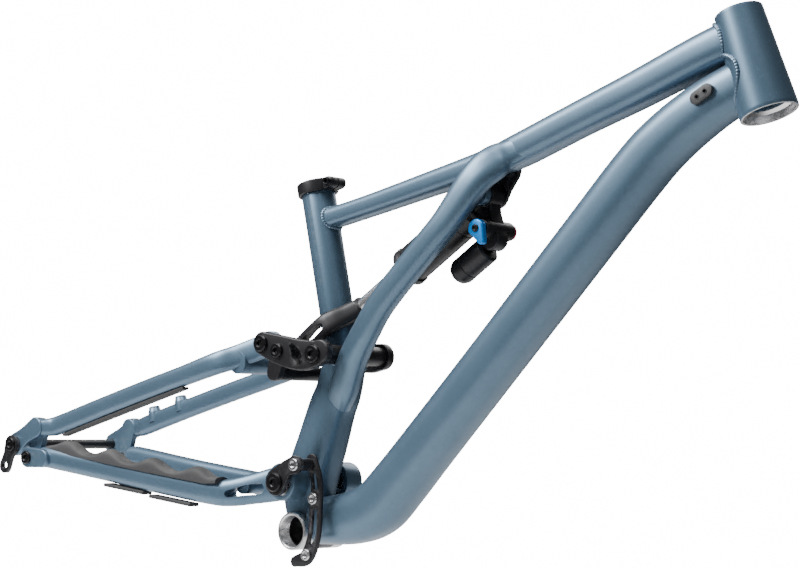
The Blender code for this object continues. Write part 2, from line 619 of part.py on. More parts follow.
def hang_on_axes():
    """Parent every moving part to an empty on the axis that its body turns about or slides along."""
    for (x, z), names in MOVING.items():
        axis = bpy.data.objects.new("axis of " + names[0], None)
        axis.location = Vector((x, 0, z)) * MM
        COLLECTIONS["bicycle_frame"].objects.link(axis)
        for part in COLLECTIONS["bicycle_frame"].objects:
            if part.type == "MESH" and part.name.startswith(names):
                part.parent = axis
                part.location -= axis.location


def main():
    clear_scene()
    spaces = make_spaces()
    make_main_tubes(spaces)
    make_shock_mounts(spaces)
    make_seat_clamp()
    make_small_fittings()
    make_chain_guide()
    make_frame_axles()
    for word, side in (("drive", -1), ("left", 1)):
        make_chainstay(word, side)
        make_seatstay(word, side)
    make_chainstay_guards()
    make_rear_end()
    make_link()
    make_shock()
    make_yoke()
    make_dials()
    hang_on_axes()


main()
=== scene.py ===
"""Looks of a full-suspension mountain bike frame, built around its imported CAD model.

Lengths are in millimetres and become metres where a mesh is made. The origin is the centre of
the bottom bracket, X points forwards, Y to the rider's left and Z up.
"""

import json
import logging
import math
from dataclasses import dataclass, field
from enum import Enum
from typing import Sequence

import bmesh
import bpy
import numpy as np
from mathutils import Matrix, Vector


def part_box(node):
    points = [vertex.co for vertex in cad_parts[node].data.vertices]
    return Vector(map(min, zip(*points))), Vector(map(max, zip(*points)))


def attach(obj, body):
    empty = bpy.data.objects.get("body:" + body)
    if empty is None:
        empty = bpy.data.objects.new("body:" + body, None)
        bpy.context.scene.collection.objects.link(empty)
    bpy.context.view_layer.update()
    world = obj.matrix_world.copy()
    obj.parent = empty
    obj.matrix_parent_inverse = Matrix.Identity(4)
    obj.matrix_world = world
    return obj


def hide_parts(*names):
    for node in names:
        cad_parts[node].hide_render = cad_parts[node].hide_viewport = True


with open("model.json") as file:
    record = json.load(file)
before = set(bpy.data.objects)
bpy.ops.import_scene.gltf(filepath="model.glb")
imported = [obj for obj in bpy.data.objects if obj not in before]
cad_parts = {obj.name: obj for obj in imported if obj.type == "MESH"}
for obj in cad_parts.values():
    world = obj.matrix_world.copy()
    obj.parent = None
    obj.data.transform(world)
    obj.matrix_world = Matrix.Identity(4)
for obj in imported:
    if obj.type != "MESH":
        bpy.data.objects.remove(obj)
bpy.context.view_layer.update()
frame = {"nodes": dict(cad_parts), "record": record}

LOG = logging.getLogger("bike_frame")
MM = 0.001
TURN = 2 * math.pi
MERGE_WITHIN = 0.000002
SHARP_ANGLE = 32.0
RIPPLE_PITCH = 3.0
BEAD_STEP = 0.55
Point = tuple[float, ...]


class Side(Enum):
    """The two sides of the frame, with the sign of Y."""

    DRIVE = -1
    LEFT = 1

    @property
    def word(self) -> str:
        """Name of the side as the nodes spell it."""
        return self.name.lower()


class Body(Enum):
    """The rigid bodies that pieces ride on."""

    FRONT = "front_triangle"
    CHAINSTAY = "chainstay"
    SEATSTAY = "seatstay"
    ROCKER = "rocker"
    SHOCK = "shock_body"
    SHAFT = "shock_shaft"
    LEVER = "compression_lever"
    DIAL = "rebound_dial"


def joint_at(name: str) -> tuple[float, float]:
    """Place of a joint's axis in the side view.

    Args:
        name: Name of the joint in the record.

    Returns:
        X and Z in millimetres.
    """
    for joint in frame["record"]["behaviour"]["joints"]:
        if joint["name"] == name:
            return joint["pos_m"][0] / MM, joint["pos_m"][2] / MM
    raise KeyError(name)


def centre_of(node: str) -> tuple[float, float]:
    """Middle of a node's box in the side view, X and Z in millimetres."""
    low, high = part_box(node)
    return (low[0] + high[0]) / 2 / MM, (low[2] + high[2]) / 2 / MM


MAIN_PIVOT = joint_at("main_pivot")
REAR_PIVOT = joint_at("rear_pivot")
LINK_FRONT = joint_at("link_pivot")
SHOCK_EYE = joint_at("shock_eye_pivot")
DIAL_CENTRE = joint_at("rebound_dial_turn")
LINK_REAR = centre_of("link_rear_bolt_drive")
YOKE_PIVOT = centre_of("link_yoke_bolt_drive")
WHEEL_AXLE = centre_of("rear_axle")
GUIDE_BOLT = centre_of("guide_bolt")


# Node groups shared by the materials.


def new_group(name: str, inputs: dict[str, float], outputs: dict[str, str]) -> bpy.types.NodeTree:
    """Make a shader node group with number inputs and typed outputs.

    Args:
        name: Name of the group.
        inputs: Input name to its default value.
        outputs: Output name to its socket type.

    Returns:
        The group, with its input and output nodes in place.
    """
    group = bpy.data.node_groups.new(name, "ShaderNodeTree")
    for label, value in inputs.items():
        socket = group.interface.new_socket(label, in_out="INPUT", socket_type="NodeSocketFloat")
        socket.default_value = value
    for label, kind in outputs.items():
        group.interface.new_socket(label, in_out="OUTPUT", socket_type=kind)
    group.nodes.new("NodeGroupInput").name = "in"
    group.nodes.new("NodeGroupOutput").name = "out"
    return group


def math_node(tree: bpy.types.NodeTree, operation: str, first: object, second: object) -> object:
    """Add a Math node.

    Args:
        tree: Tree that takes the node.
        operation: Name of the operation.
        first: First operand, a socket or a number.
        second: Second operand, a socket or a number.

    Returns:
        The value's socket.
    """
    node = tree.nodes.new("ShaderNodeMath")
    node.operation = operation
    node.use_clamp = operation in ("MULTIPLY", "ADD")
    for socket, value in zip(node.inputs, (first, second)):
        if isinstance(value, (int, float)):
            socket.default_value = value
        else:
            tree.links.new(value, socket)
    return node.outputs[0]


def noise(tree: bpy.types.NodeTree, scale: object, detail: float) -> object:
    """Add a noise texture on Object coordinates.

    Args:
        tree: Tree that takes the nodes.
        scale: Scale of the noise, a socket or a number.
        detail: Number of finer layers.

    Returns:
        The noise's socket.
    """
    coordinates = tree.nodes.new("ShaderNodeTexCoord")
    texture = tree.nodes.new("ShaderNodeTexNoise")
    texture.inputs["Detail"].default_value = detail
    if isinstance(scale, (int, float)):
        texture.inputs["Scale"].default_value = scale
    else:
        tree.links.new(scale, texture.inputs["Scale"])
    tree.links.new(coordinates.outputs["Object"], texture.inputs["Vector"])
    return texture.outputs["Fac"]


def ramp(tree: bpy.types.NodeTree, value: object, low: float, high: float) -> object:
    """Stretch a value: (value - low) / (high - low), held between 0 and 1.

    Args:
        tree: Tree that takes the node.
        value: Socket of the value.
        low: Value that becomes 0.
        high: Value that becomes 1.

    Returns:
        The stretched value's socket.
    """
    node = tree.nodes.new("ShaderNodeMapRange")
    node.inputs["From Min"].default_value = low
    node.inputs["From Max"].default_value = high
    tree.links.new(value, node.inputs["Value"])
    return node.outputs["Result"]


def grain_group() -> bpy.types.NodeTree:
    """Fine grain over soft clouds: Fine is the small grain, Cloud the slow change of tone.

    Returns:
        The node group.
    """
    group = new_group("fine_grain", {"Scale": 900.0}, {"Fine": "NodeSocketFloat", "Cloud": "NodeSocketFloat"})
    source, sink = group.nodes["in"], group.nodes["out"]
    group.links.new(noise(group, source.outputs["Scale"], 3.0), sink.inputs["Fine"])
    group.links.new(ramp(group, noise(group, 14.0, 4.0), 0.3, 0.7), sink.inputs["Cloud"])
    return group


def wear_group() -> bpy.types.NodeTree:
    """Edge wear: a mask on convex edges, broken up by noise and scaled by Amount.

    Returns:
        The node group.
    """
    group = new_group("edge_wear", {"Amount": 0.5}, {"Mask": "NodeSocketFloat"})
    source, sink = group.nodes["in"], group.nodes["out"]
    geometry = group.nodes.new("ShaderNodeNewGeometry")
    edge = ramp(group, geometry.outputs["Pointiness"], 0.53, 0.62)
    broken = math_node(group, "MULTIPLY", edge, ramp(group, noise(group, 160.0, 6.0), 0.42, 0.68))
    group.links.new(math_node(group, "MULTIPLY", broken, source.outputs["Amount"]), sink.inputs["Mask"])
    return group


def dust_group() -> bpy.types.NodeTree:
    """Dust: a mask on faces that point up, broken up by noise and scaled by Amount.

    Returns:
        The node group.
    """
    group = new_group("light_dust", {"Amount": 0.2}, {"Mask": "NodeSocketFloat"})
    source, sink = group.nodes["in"], group.nodes["out"]
    geometry = group.nodes.new("ShaderNodeNewGeometry")
    split = group.nodes.new("ShaderNodeSeparateXYZ")
    group.links.new(geometry.outputs["Normal"], split.inputs[0])
    facing = ramp(group, split.outputs["Z"], 0.35, 1.0)
    patchy = math_node(group, "MULTIPLY", facing, ramp(group, noise(group, 45.0, 8.0), 0.35, 0.75))
    group.links.new(math_node(group, "MULTIPLY", patchy, source.outputs["Amount"]), sink.inputs["Mask"])
    return group


@dataclass(frozen=True)
class Finish:
    """A surface finish and how its material is made."""

    slot: str
    colour: tuple[float, float, float]
    shade: tuple[float, float, float]
    roughness: float
    metallic: float
    coat: float = 0.0
    grain: float = 900.0
    bump: float = 0.04
    wear: float = 0.3
    bare: tuple[float, float, float] = (0.55, 0.55, 0.56)
    dust: float = 0.08

    def place_group(self, tree: bpy.types.NodeTree, name: str, value: float) -> bpy.types.Node:
        """Add one of the shared groups and set its only input.

        Args:
            tree: Tree of the material.
            name: Name of the group.
            value: Value of its input.

        Returns:
            The group's node.
        """
        node = tree.nodes.new("ShaderNodeGroup")
        node.node_tree = bpy.data.node_groups[name]
        node.inputs[0].default_value = value
        return node

    def mix(self, tree: bpy.types.NodeTree, factor: object, first: object, second: object) -> object:
        """Mix two colours.

        Args:
            tree: Tree of the material.
            factor: Socket of the share of the second colour.
            first: Socket or colour where the factor is 0.
            second: Socket or colour where the factor is 1.

        Returns:
            The mixed colour's socket.
        """
        node = tree.nodes.new("ShaderNodeMix")
        node.data_type = "RGBA"
        tree.links.new(factor, node.inputs[0])
        for socket, value in ((node.inputs[6], first), (node.inputs[7], second)):
            if isinstance(value, tuple):
                socket.default_value = (*value, 1.0)
            else:
                tree.links.new(value, socket)
        return node.outputs[2]

    def build(self, name: str) -> bpy.types.Material:
        """Make the material: clouds and grain in the colour, worn edges, light dust and a fine bump.

        Args:
            name: Name of the material.

        Returns:
            The material, made once for each name.
        """
        found = bpy.data.materials.get(name)
        if found:
            return found
        made = bpy.data.materials.new(name)
        made.use_nodes = True
        tree = made.node_tree
        shader = tree.nodes["Principled BSDF"]
        grain = self.place_group(tree, "fine_grain", self.grain)
        wear = self.place_group(tree, "edge_wear", self.wear)
        dust = self.place_group(tree, "light_dust", self.dust)
        tone = self.mix(tree, grain.outputs["Cloud"], self.colour, self.shade)
        flakes = ramp(tree, grain.outputs["Fine"], 0.62, 0.8)
        sparkle = self.mix(tree, flakes, tone, tuple(c * 1.5 for c in self.colour))
        worn = self.mix(tree, wear.outputs["Mask"], sparkle, self.bare)
        dusty = self.mix(tree, dust.outputs["Mask"], worn, (0.42, 0.4, 0.38))
        tree.links.new(dusty, shader.inputs["Base Color"])
        rough = tree.nodes.new("ShaderNodeMapRange")
        rough.inputs["To Min"].default_value = max(0.02, self.roughness - 0.06)
        rough.inputs["To Max"].default_value = self.roughness + 0.08
        tree.links.new(grain.outputs["Fine"], rough.inputs["Value"])
        tree.links.new(rough.outputs["Result"], shader.inputs["Roughness"])
        shader.inputs["Metallic"].default_value = self.metallic
        shader.inputs["Coat Weight"].default_value = self.coat
        shader.inputs["Coat Roughness"].default_value = 0.25
        bump = tree.nodes.new("ShaderNodeBump")
        bump.inputs["Strength"].default_value = self.bump
        bump.inputs["Distance"].default_value = 0.0004
        tree.links.new(grain.outputs["Fine"], bump.inputs["Height"])
        tree.links.new(bump.outputs["Normal"], shader.inputs["Normal"])
        return made


class Coat(Enum):
    """The finishes on the frame."""

    PAINT = Finish("frame_paint", (0.1, 0.165, 0.235), (0.085, 0.145, 0.21), 0.38, 0.6, coat=0.2)
    BLACK = Finish("black_anodised", (0.014, 0.014, 0.017), (0.01, 0.01, 0.012), 0.38, 0.35, wear=0.35)
    ALLOY = Finish(
        "raw_alloy", (0.78, 0.78, 0.79), (0.74, 0.74, 0.75), 0.28, 1.0, grain=500.0, wear=0.0, dust=0.0,
    )
    RUBBER = Finish(
        "black_rubber", (0.022, 0.022, 0.024), (0.03, 0.03, 0.032), 0.7, 0.0, bump=0.25, wear=0.0, dust=0.2,
    )
    PLASTIC = Finish(
        "black_plastic", (0.03, 0.03, 0.033), (0.024, 0.024, 0.026), 0.5, 0.0, bump=0.15, wear=0.1,
    )
    STEEL = Finish("steel_bolt", (0.62, 0.62, 0.63), (0.5, 0.5, 0.52), 0.25, 1.0, grain=1400.0, wear=0.0)
    DARK_BOLT = Finish("steel_bolt", (0.022, 0.022, 0.025), (0.016, 0.016, 0.018), 0.3, 0.8, wear=0.6)
    BLUE = Finish("blue_anodised", (0.0, 0.24, 0.72), (0.0, 0.2, 0.6), 0.3, 0.5)
    RED = Finish("red_anodised", (0.6, 0.012, 0.08), (0.5, 0.01, 0.06), 0.3, 0.5)

    def material(self) -> bpy.types.Material:
        """The finish's material."""
        return self.value.build(self.name.lower() + "_finish")


# Surfaces worked out on grids.


def quads(rows: int, columns: int, close_rows: bool) -> np.ndarray:
    """Faces of a grid that closes round its columns and, on request, round its rows.

    Args:
        rows: Number of rings.
        columns: Number of points in a ring.
        close_rows: Whether the last ring joins the first.

    Returns:
        Vertex numbers, four for each face.
    """
    row = np.arange(rows if close_rows else rows - 1)[:, None]
    column = np.arange(columns)[None, :]
    after = (row + 1) % rows
    beside = (column + 1) % columns
    near, far = row * columns, after * columns
    corners = (near + column, near + beside, far + beside, far + column)
    return np.stack(corners, axis=-1).reshape(-1, 4)


def skin(name: str, rings: np.ndarray, closed: bool = False) -> bpy.types.Mesh:
    """Mesh over a row of rings, with a flat cap at each end unless the row closes on itself.

    Args:
        name: Name of the mesh.
        rings: Points in millimetres, shaped rings by points by 3.
        closed: Whether the last ring joins the first.

    Returns:
        The mesh in metres, smooth except at sharp edges, with its faces outwards.
    """
    rows, columns = rings.shape[:2]
    faces = quads(rows, columns, closed).tolist()
    if not closed:
        faces.append(list(range(columns))[::-1])
        faces.append(list(range((rows - 1) * columns, rows * columns)))
    mesh = bpy.data.meshes.new(name)
    mesh.from_pydata((rings.reshape(-1, 3) * MM).tolist(), [], faces)
    return tidy(mesh)


def tidy(mesh: bpy.types.Mesh, angle: float = SHARP_ANGLE) -> bpy.types.Mesh:
    """Merge doubles, turn the faces outwards and smooth all but the sharp edges.

    Args:
        mesh: Mesh to change.
        angle: Angle in degrees from which an edge is sharp.

    Returns:
        The same mesh.
    """
    shape = bmesh.new()
    shape.from_mesh(mesh)
    bmesh.ops.remove_doubles(shape, verts=shape.verts, dist=MERGE_WITHIN)
    bmesh.ops.recalc_face_normals(shape, faces=shape.faces)
    shape.to_mesh(mesh)
    shape.free()
    mesh.shade_smooth()
    mesh.set_sharp_from_angle(angle=math.radians(angle))
    return mesh


def spline(knots: np.ndarray, count: int) -> np.ndarray:
    """Catmull-Rom curve through the knots.

    Each piece is the cubic that passes its two knots with tangents of half the step between
    their neighbours.

    Args:
        knots: Rows of values to pass through.
        count: Samples for each piece.

    Returns:
        The samples, ends included.
    """
    padded = np.vstack([2 * knots[0] - knots[1], knots, 2 * knots[-1] - knots[-2]])
    where = np.linspace(0, len(knots) - 1, count * (len(knots) - 1) + 1)
    piece = np.minimum(where.astype(int), len(knots) - 2)
    t = (where - piece)[:, None]
    a, b, c, d = (padded[piece + k] for k in range(4))
    return 0.5 * (2 * b + (c - a) * t + (2 * a - 5 * b + 4 * c - d) * t**2 + (3 * b - 3 * c + d - a) * t**3)


def frames(centres: np.ndarray) -> tuple[np.ndarray, np.ndarray, np.ndarray]:
    """Directions at each point of a path.

    Along is the path's own direction, across is Y less its part along the path, and upright is
    along x across.

    Args:
        centres: Points of the path.

    Returns:
        Along, across and upright, as unit vectors.
    """
    along = np.gradient(centres, axis=0)
    along /= np.linalg.norm(along, axis=1, keepdims=True)
    across = np.array([0.0, 1.0, 0.0]) - along * along[:, 1:2]
    across /= np.linalg.norm(across, axis=1, keepdims=True)
    return along, across, np.cross(along, across)


def loft_rings(
    stations: Sequence[Point], per_piece: int = 7, sides: int = 64, power: float = 2.6,
) -> np.ndarray:
    """Rings of a tube whose section is a superellipse.

    A ring point is centre + across * w * sgn(cos) |cos|^(2/n) + upright * h * sgn(sin) |sin|^(2/n).

    Args:
        stations: X, Y, Z, half height and half width along the tube.
        per_piece: Rings between two stations.
        sides: Points in a ring.
        power: The n of the superellipse; 2 is an ellipse, more is squarer.

    Returns:
        The rings, in millimetres.
    """
    path = spline(np.array(stations, float), per_piece)
    _, across, upright = frames(path[:, :3])
    angle = TURN * np.arange(sides) / sides
    round_u = np.sign(np.cos(angle)) * np.abs(np.cos(angle)) ** (2 / power)
    round_v = np.sign(np.sin(angle)) * np.abs(np.sin(angle)) ** (2 / power)
    wide = across[:, None, :] * (path[:, 4, None] * round_u)[..., None]
    tall = upright[:, None, :] * (path[:, 3, None] * round_v)[..., None]
    return path[:, None, :3] + wide + tall


def rounded(profile: Sequence[Point], radius: float, closed: bool = False, steps: int = 3) -> np.ndarray:
    """Round the corners of a line: each is replaced by a quadratic curve that starts radius before it.

    Args:
        profile: Corner points.
        radius: Distance from the corner at which the curve starts, at most 0.45 of a side.
        closed: Whether the line closes on itself.
        steps: Number of spans in each curve.

    Returns:
        The rounded line.
    """
    points = np.array(profile, float)
    count = len(points)
    t = np.linspace(0, 1, steps + 1)[:, None]
    out = []
    for i in range(count):
        if not closed and i in (0, count - 1):
            out.append(points[i][None])
            continue
        corner, before, after = points[i], points[i - 1], points[(i + 1) % count]
        reach = [min(radius / (np.linalg.norm(q - corner) + 1e-9), 0.45) for q in (before, after)]
        start, end = corner + (before - corner) * reach[0], corner + (after - corner) * reach[1]
        out.append((1 - t) ** 2 * start + 2 * t * (1 - t) * corner + t**2 * end)
    return np.vstack(out)


def turned(
    name: str, profile: Sequence[Point], foot: Point, up: Point, soften: float = 0.6,
    closed: bool = False, sides: int = 96, hexed: Sequence[float] = (),
) -> bpy.types.Mesh:
    """Turned shape: a profile of radius and height carried round an axis.

    A point is foot + up * h + r * (cos * e1 + sin * e2). Where hexed gives radii, rings of that
    radius become hexagons: r = a / cos(angle folded into a sixth of a turn).

    Args:
        name: Name of the mesh.
        profile: Radius and height, from one end to the other.
        foot: Point on the axis at height 0.
        up: Direction of the axis.
        soften: Size of the rounding at the profile's corners.
        closed: Whether the profile closes, as on a ring.
        sides: Points round the axis.
        hexed: Radii that are hexagons, as a socket's.

    Returns:
        The mesh.
    """
    line = rounded(profile, soften, closed)
    axis = np.array(up, float) / np.linalg.norm(up)
    side = np.cross(axis, [0.0, 1.0, 0.0] if abs(axis[1]) < 0.9 else [1.0, 0.0, 0.0])
    side /= np.linalg.norm(side)
    other = np.cross(axis, side)
    angle = TURN * np.arange(sides) / sides
    radius = np.repeat(line[:, :1], sides, axis=1)
    folded = np.mod(angle, TURN / 6) - TURN / 12
    for flat in hexed:
        radius = np.where(np.isclose(radius, flat), flat / np.cos(folded) * 0.95, radius)
    spin = side * np.cos(angle)[:, None] + other * np.sin(angle)[:, None]
    rings = np.array(foot) + axis * line[:, 1:2][:, None] + radius[..., None] * spin
    return skin(name, rings, closed)


def rod(name: str, at: Point, radius: float, y0: float, y1: float, soften: float = 0.8) -> bpy.types.Mesh:
    """Cylinder across the frame with softened rims.

    Args:
        name: Name of the mesh.
        at: X and Z of its axis.
        radius: Its radius.
        y0: One end.
        y1: The other end.
        soften: Size of the rims' rounding.

    Returns:
        The mesh.
    """
    length = abs(y1 - y0)
    profile = [(radius * 0.02, 0), (radius, 0), (radius, length), (radius * 0.02, length)]
    return turned(name, profile, (at[0], min(y0, y1), at[1]), (0, 1, 0), soften)


def sleeve(name: str, at: Point, inner: float, outer: float, y0: float, y1: float) -> bpy.types.Mesh:
    """Ring across the frame with softened rims.

    Args:
        name: Name of the mesh.
        at: X and Z of its axis.
        inner: Radius of its hole.
        outer: Radius of its outside.
        y0: One end.
        y1: The other end.

    Returns:
        The mesh.
    """
    length = abs(y1 - y0)
    profile = [(outer, 0), (outer, length), (inner, length), (inner, 0)]
    return turned(name, profile, (at[0], min(y0, y1), at[1]), (0, 1, 0), 0.7, closed=True)


def stroke(circles: Sequence[Point], arc: int = 22) -> np.ndarray:
    """Outline of a band through circles of X, Z and radius, smooth along and round at both ends.

    The sides are centre plus and minus radius times the sideways direction; each end is a half
    circle.

    Args:
        circles: X, Z and radius along the band.
        arc: Spans in each end's half circle.

    Returns:
        The closed outline as X and Z.
    """
    path = spline(np.array(circles, float), 8) if len(circles) > 2 else np.array(circles, float)
    along = np.gradient(path[:, :2], axis=0)
    along /= np.linalg.norm(along, axis=1, keepdims=True)
    side = np.stack([-along[:, 1], along[:, 0]], axis=1)
    left = path[:, :2] + side * path[:, 2:3]
    right = path[:, :2] - side * path[:, 2:3]
    swing = math.pi * np.arange(1, arc) / arc

    def cap(end: int, sign: float) -> np.ndarray:
        """Half circle round one end.

        Args:
            end: Index of the end in the path.
            sign: Side of the band at which the half circle starts.

        Returns:
            Points of the half circle, without its two ends.
        """
        start = math.atan2(sign * side[end, 1], sign * side[end, 0])
        turned_by = start - swing
        return path[end, :2] + path[end, 2] * np.stack([np.cos(turned_by), np.sin(turned_by)], axis=1)

    return np.vstack([left, cap(-1, 1.0), right[::-1], cap(0, -1.0)])


def plate(name: str, outline: np.ndarray, y0: float, y1: float, edge: float = 1.2) -> bpy.types.Mesh:
    """Flat plate with rounded rims: the outline carried across its thickness.

    At angle a of the rim the outline moves in by edge * (1 - cos a) and the height is
    edge * (1 - sin a) from the face.

    Args:
        name: Name of the mesh.
        outline: Closed outline as X and Z.
        y0: One face.
        y1: The other face.
        edge: Radius of the rim.

    Returns:
        The mesh.
    """
    low, high = min(y0, y1), max(y0, y1)
    ahead, behind = np.roll(outline, -1, axis=0), np.roll(outline, 1, axis=0)
    tangent = ahead - behind
    tangent /= np.linalg.norm(tangent, axis=1, keepdims=True) + 1e-12
    inward = np.stack([-tangent[:, 1], tangent[:, 0]], axis=1)
    area = np.sum(outline[:, 0] * ahead[:, 1] - ahead[:, 0] * outline[:, 1])
    inward *= math.copysign(1.0, area)
    angle = np.linspace(math.pi / 2, 0, 4)
    inset = np.concatenate([edge * (1 - np.cos(angle)), edge * (1 - np.cos(angle[::-1]))])
    height = np.concatenate([low + edge * (1 - np.sin(angle)), high - edge * (1 - np.sin(angle[::-1]))])
    flat = outline[None] + inward[None] * inset[:, None, None]
    rings = np.stack([flat[..., 0], np.broadcast_to(height[:, None], flat.shape[:2]), flat[..., 1]], axis=-1)
    return skin(name, rings)


def carve(
    mesh: bpy.types.Mesh, joins: Sequence[bpy.types.Mesh] = (), cuts: Sequence[bpy.types.Mesh] = (),
) -> bpy.types.Mesh:
    """Join meshes to one and cut others from it.

    Args:
        mesh: The mesh to change.
        joins: Meshes to add.
        cuts: Meshes to take away.

    Returns:
        A new mesh of the result.
    """
    work = bpy.data.objects.new(mesh.name + "_work", mesh)
    bpy.context.scene.collection.objects.link(work)
    helpers = []
    for operation, others in (("UNION", joins), ("DIFFERENCE", cuts)):
        for other in others:
            helper = bpy.data.objects.new(other.name, other)
            bpy.context.scene.collection.objects.link(helper)
            helpers.append(helper)
            step = work.modifiers.new(operation, "BOOLEAN")
            step.operation = operation
            step.solver = "MANIFOLD"
            step.object = helper
    bpy.context.view_layer.update()
    result = bpy.data.meshes.new_from_object(work.evaluated_get(bpy.context.evaluated_depsgraph_get()))
    for helper in [work, *helpers]:
        bpy.data.objects.remove(helper, do_unlink=True)
    result.name = mesh.name
    return tidy(result)


def bead(name: str, curve: np.ndarray, radius: float = 2.1) -> bpy.types.Mesh:
    """Weld bead: a small round section carried along a closed curve.

    The section's radius is radius * (1 + 0.09 * sin of the length along the curve), which gives
    the even ripple of a hand-laid weld about every three millimetres.

    Args:
        name: Name of the mesh.
        curve: Closed curve of points, in millimetres.
        radius: Mean radius of the bead.

    Returns:
        The mesh.
    """
    closed = np.vstack([curve, curve[:1]])
    reach = np.concatenate([[0], np.cumsum(np.linalg.norm(np.diff(closed, axis=0), axis=1))])
    count = int(reach[-1] / BEAD_STEP)
    even = np.linspace(0, reach[-1], count, endpoint=False)
    path = np.stack([np.interp(even, reach, closed[:, k]) for k in range(3)], axis=1)
    along = np.roll(path, -1, axis=0) - np.roll(path, 1, axis=0)
    along /= np.linalg.norm(along, axis=1, keepdims=True)
    first = path - path.mean(axis=0)
    first -= along * np.sum(first * along, axis=1, keepdims=True)
    first /= np.linalg.norm(first, axis=1, keepdims=True)
    second = np.cross(along, first)
    ripples = max(8, round(reach[-1] / RIPPLE_PITCH))
    size = radius * (1 + 0.09 * np.sin(TURN * ripples * even / reach[-1]))
    angle = TURN * np.arange(10) / 10
    spin = first[:, None] * np.cos(angle)[None, :, None] + second[:, None] * np.sin(angle)[None, :, None]
    return skin(name, path[:, None] + size[:, None, None] * spin, closed=True)


def meet_cylinder(ring: np.ndarray, way: np.ndarray, foot: Point, axis: Point, radius: float) -> np.ndarray:
    """Where lines from a ring's points reach a cylinder.

    Each point p moves to p + t * way with t the smaller root of |(p + t way - foot) x axis| = radius;
    a line that misses stops where it passes closest.

    Args:
        ring: Points of the ring.
        way: Direction of travel.
        foot: Point on the cylinder's axis.
        axis: Direction of the cylinder's axis.
        radius: Radius of the cylinder.

    Returns:
        The points on the cylinder.
    """
    unit = np.array(axis, float) / np.linalg.norm(axis)
    offset = ring - np.array(foot)
    offset -= (offset @ unit)[:, None] * unit
    travel = way - (way @ unit) * unit
    a, b = travel @ travel, offset @ travel
    c = np.sum(offset * offset, axis=1) - radius**2
    root = np.sqrt(np.maximum(b * b - a * c, 0))
    return ring + ((-b - root) / a)[:, None] * way


def add_piece(
    name: str, mesh: bpy.types.Mesh, coat: Coat, body: Body, nodes: Sequence[str] = (),
) -> bpy.types.Object:
    """Put a finished mesh in the scene on its body, with its finish and the nodes it stands for.

    Args:
        name: Name of the piece.
        mesh: Its mesh, already in place.
        coat: Its finish.
        body: The body it rides on.
        nodes: CAD nodes that it replaces.

    Returns:
        The piece.
    """
    mesh.materials.clear()
    mesh.materials.append(coat.material())
    piece = bpy.data.objects.new(name, mesh)
    bpy.context.scene.collection.objects.link(piece)
    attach(piece, body.value)
    if nodes:
        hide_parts(*nodes)
    LOG.info("%s: %d faces on %s", name, len(mesh.polygons), body.value)
    return piece


def refine(node: str, coat: Coat, body: Body, rim: float = 0.5) -> bpy.types.Object:
    """Stand in for a CAD node with a copy of its solid whose rims are rounded.

    Args:
        node: Name of the CAD node.
        coat: Finish of the copy.
        body: Body it rides on.
        rim: Width of the rounded rims.

    Returns:
        The piece.
    """
    mesh = frame["nodes"][node].data.copy()
    mesh.name = node + "_fine"
    shape = bmesh.new()
    shape.from_mesh(mesh)
    bmesh.ops.remove_doubles(shape, verts=shape.verts, dist=MERGE_WITHIN)
    bmesh.ops.dissolve_limit(shape, angle_limit=math.radians(1), verts=shape.verts, edges=shape.edges)
    shape.to_mesh(mesh)
    shape.free()
    mesh.shade_smooth()
    mesh.set_sharp_from_angle(angle=math.radians(SHARP_ANGLE))
    piece = add_piece(node + "_fine", mesh, coat, body, [node])
    bevel = piece.modifiers.new("rims", "BEVEL")
    bevel.width = rim * MM
    bevel.segments = 2
    bevel.angle_limit = math.radians(40)
    bevel.harden_normals = True
    return piece


def cap_bolt(
    name: str, at: Point, y: float, side: Side, size: float, height: float, socket: float,
) -> bpy.types.Mesh:
    """Round bolt head with a hexagon socket, on the face at y and standing out to one side.

    Args:
        name: Name of the mesh.
        at: X and Z of the axis.
        y: Height of the face that the head sits on.
        side: The side it faces.
        size: Radius of the head.
        height: How far it stands out.
        socket: Radius of the socket.

    Returns:
        The mesh.
    """
    profile = [
        (0.1, 0), (size, 0), (size, height * 0.6), (size * 0.88, height), (socket * 1.25, height),
        (socket * 1.12, height * 0.86), (socket, height * 0.8), (socket, height * 0.25), (0.1, height * 0.25),
    ]
    return turned(name, profile, (at[0], y, at[1]), (0, side.value, 0), 0.3, hexed=(socket,))


# The sub-assemblies.


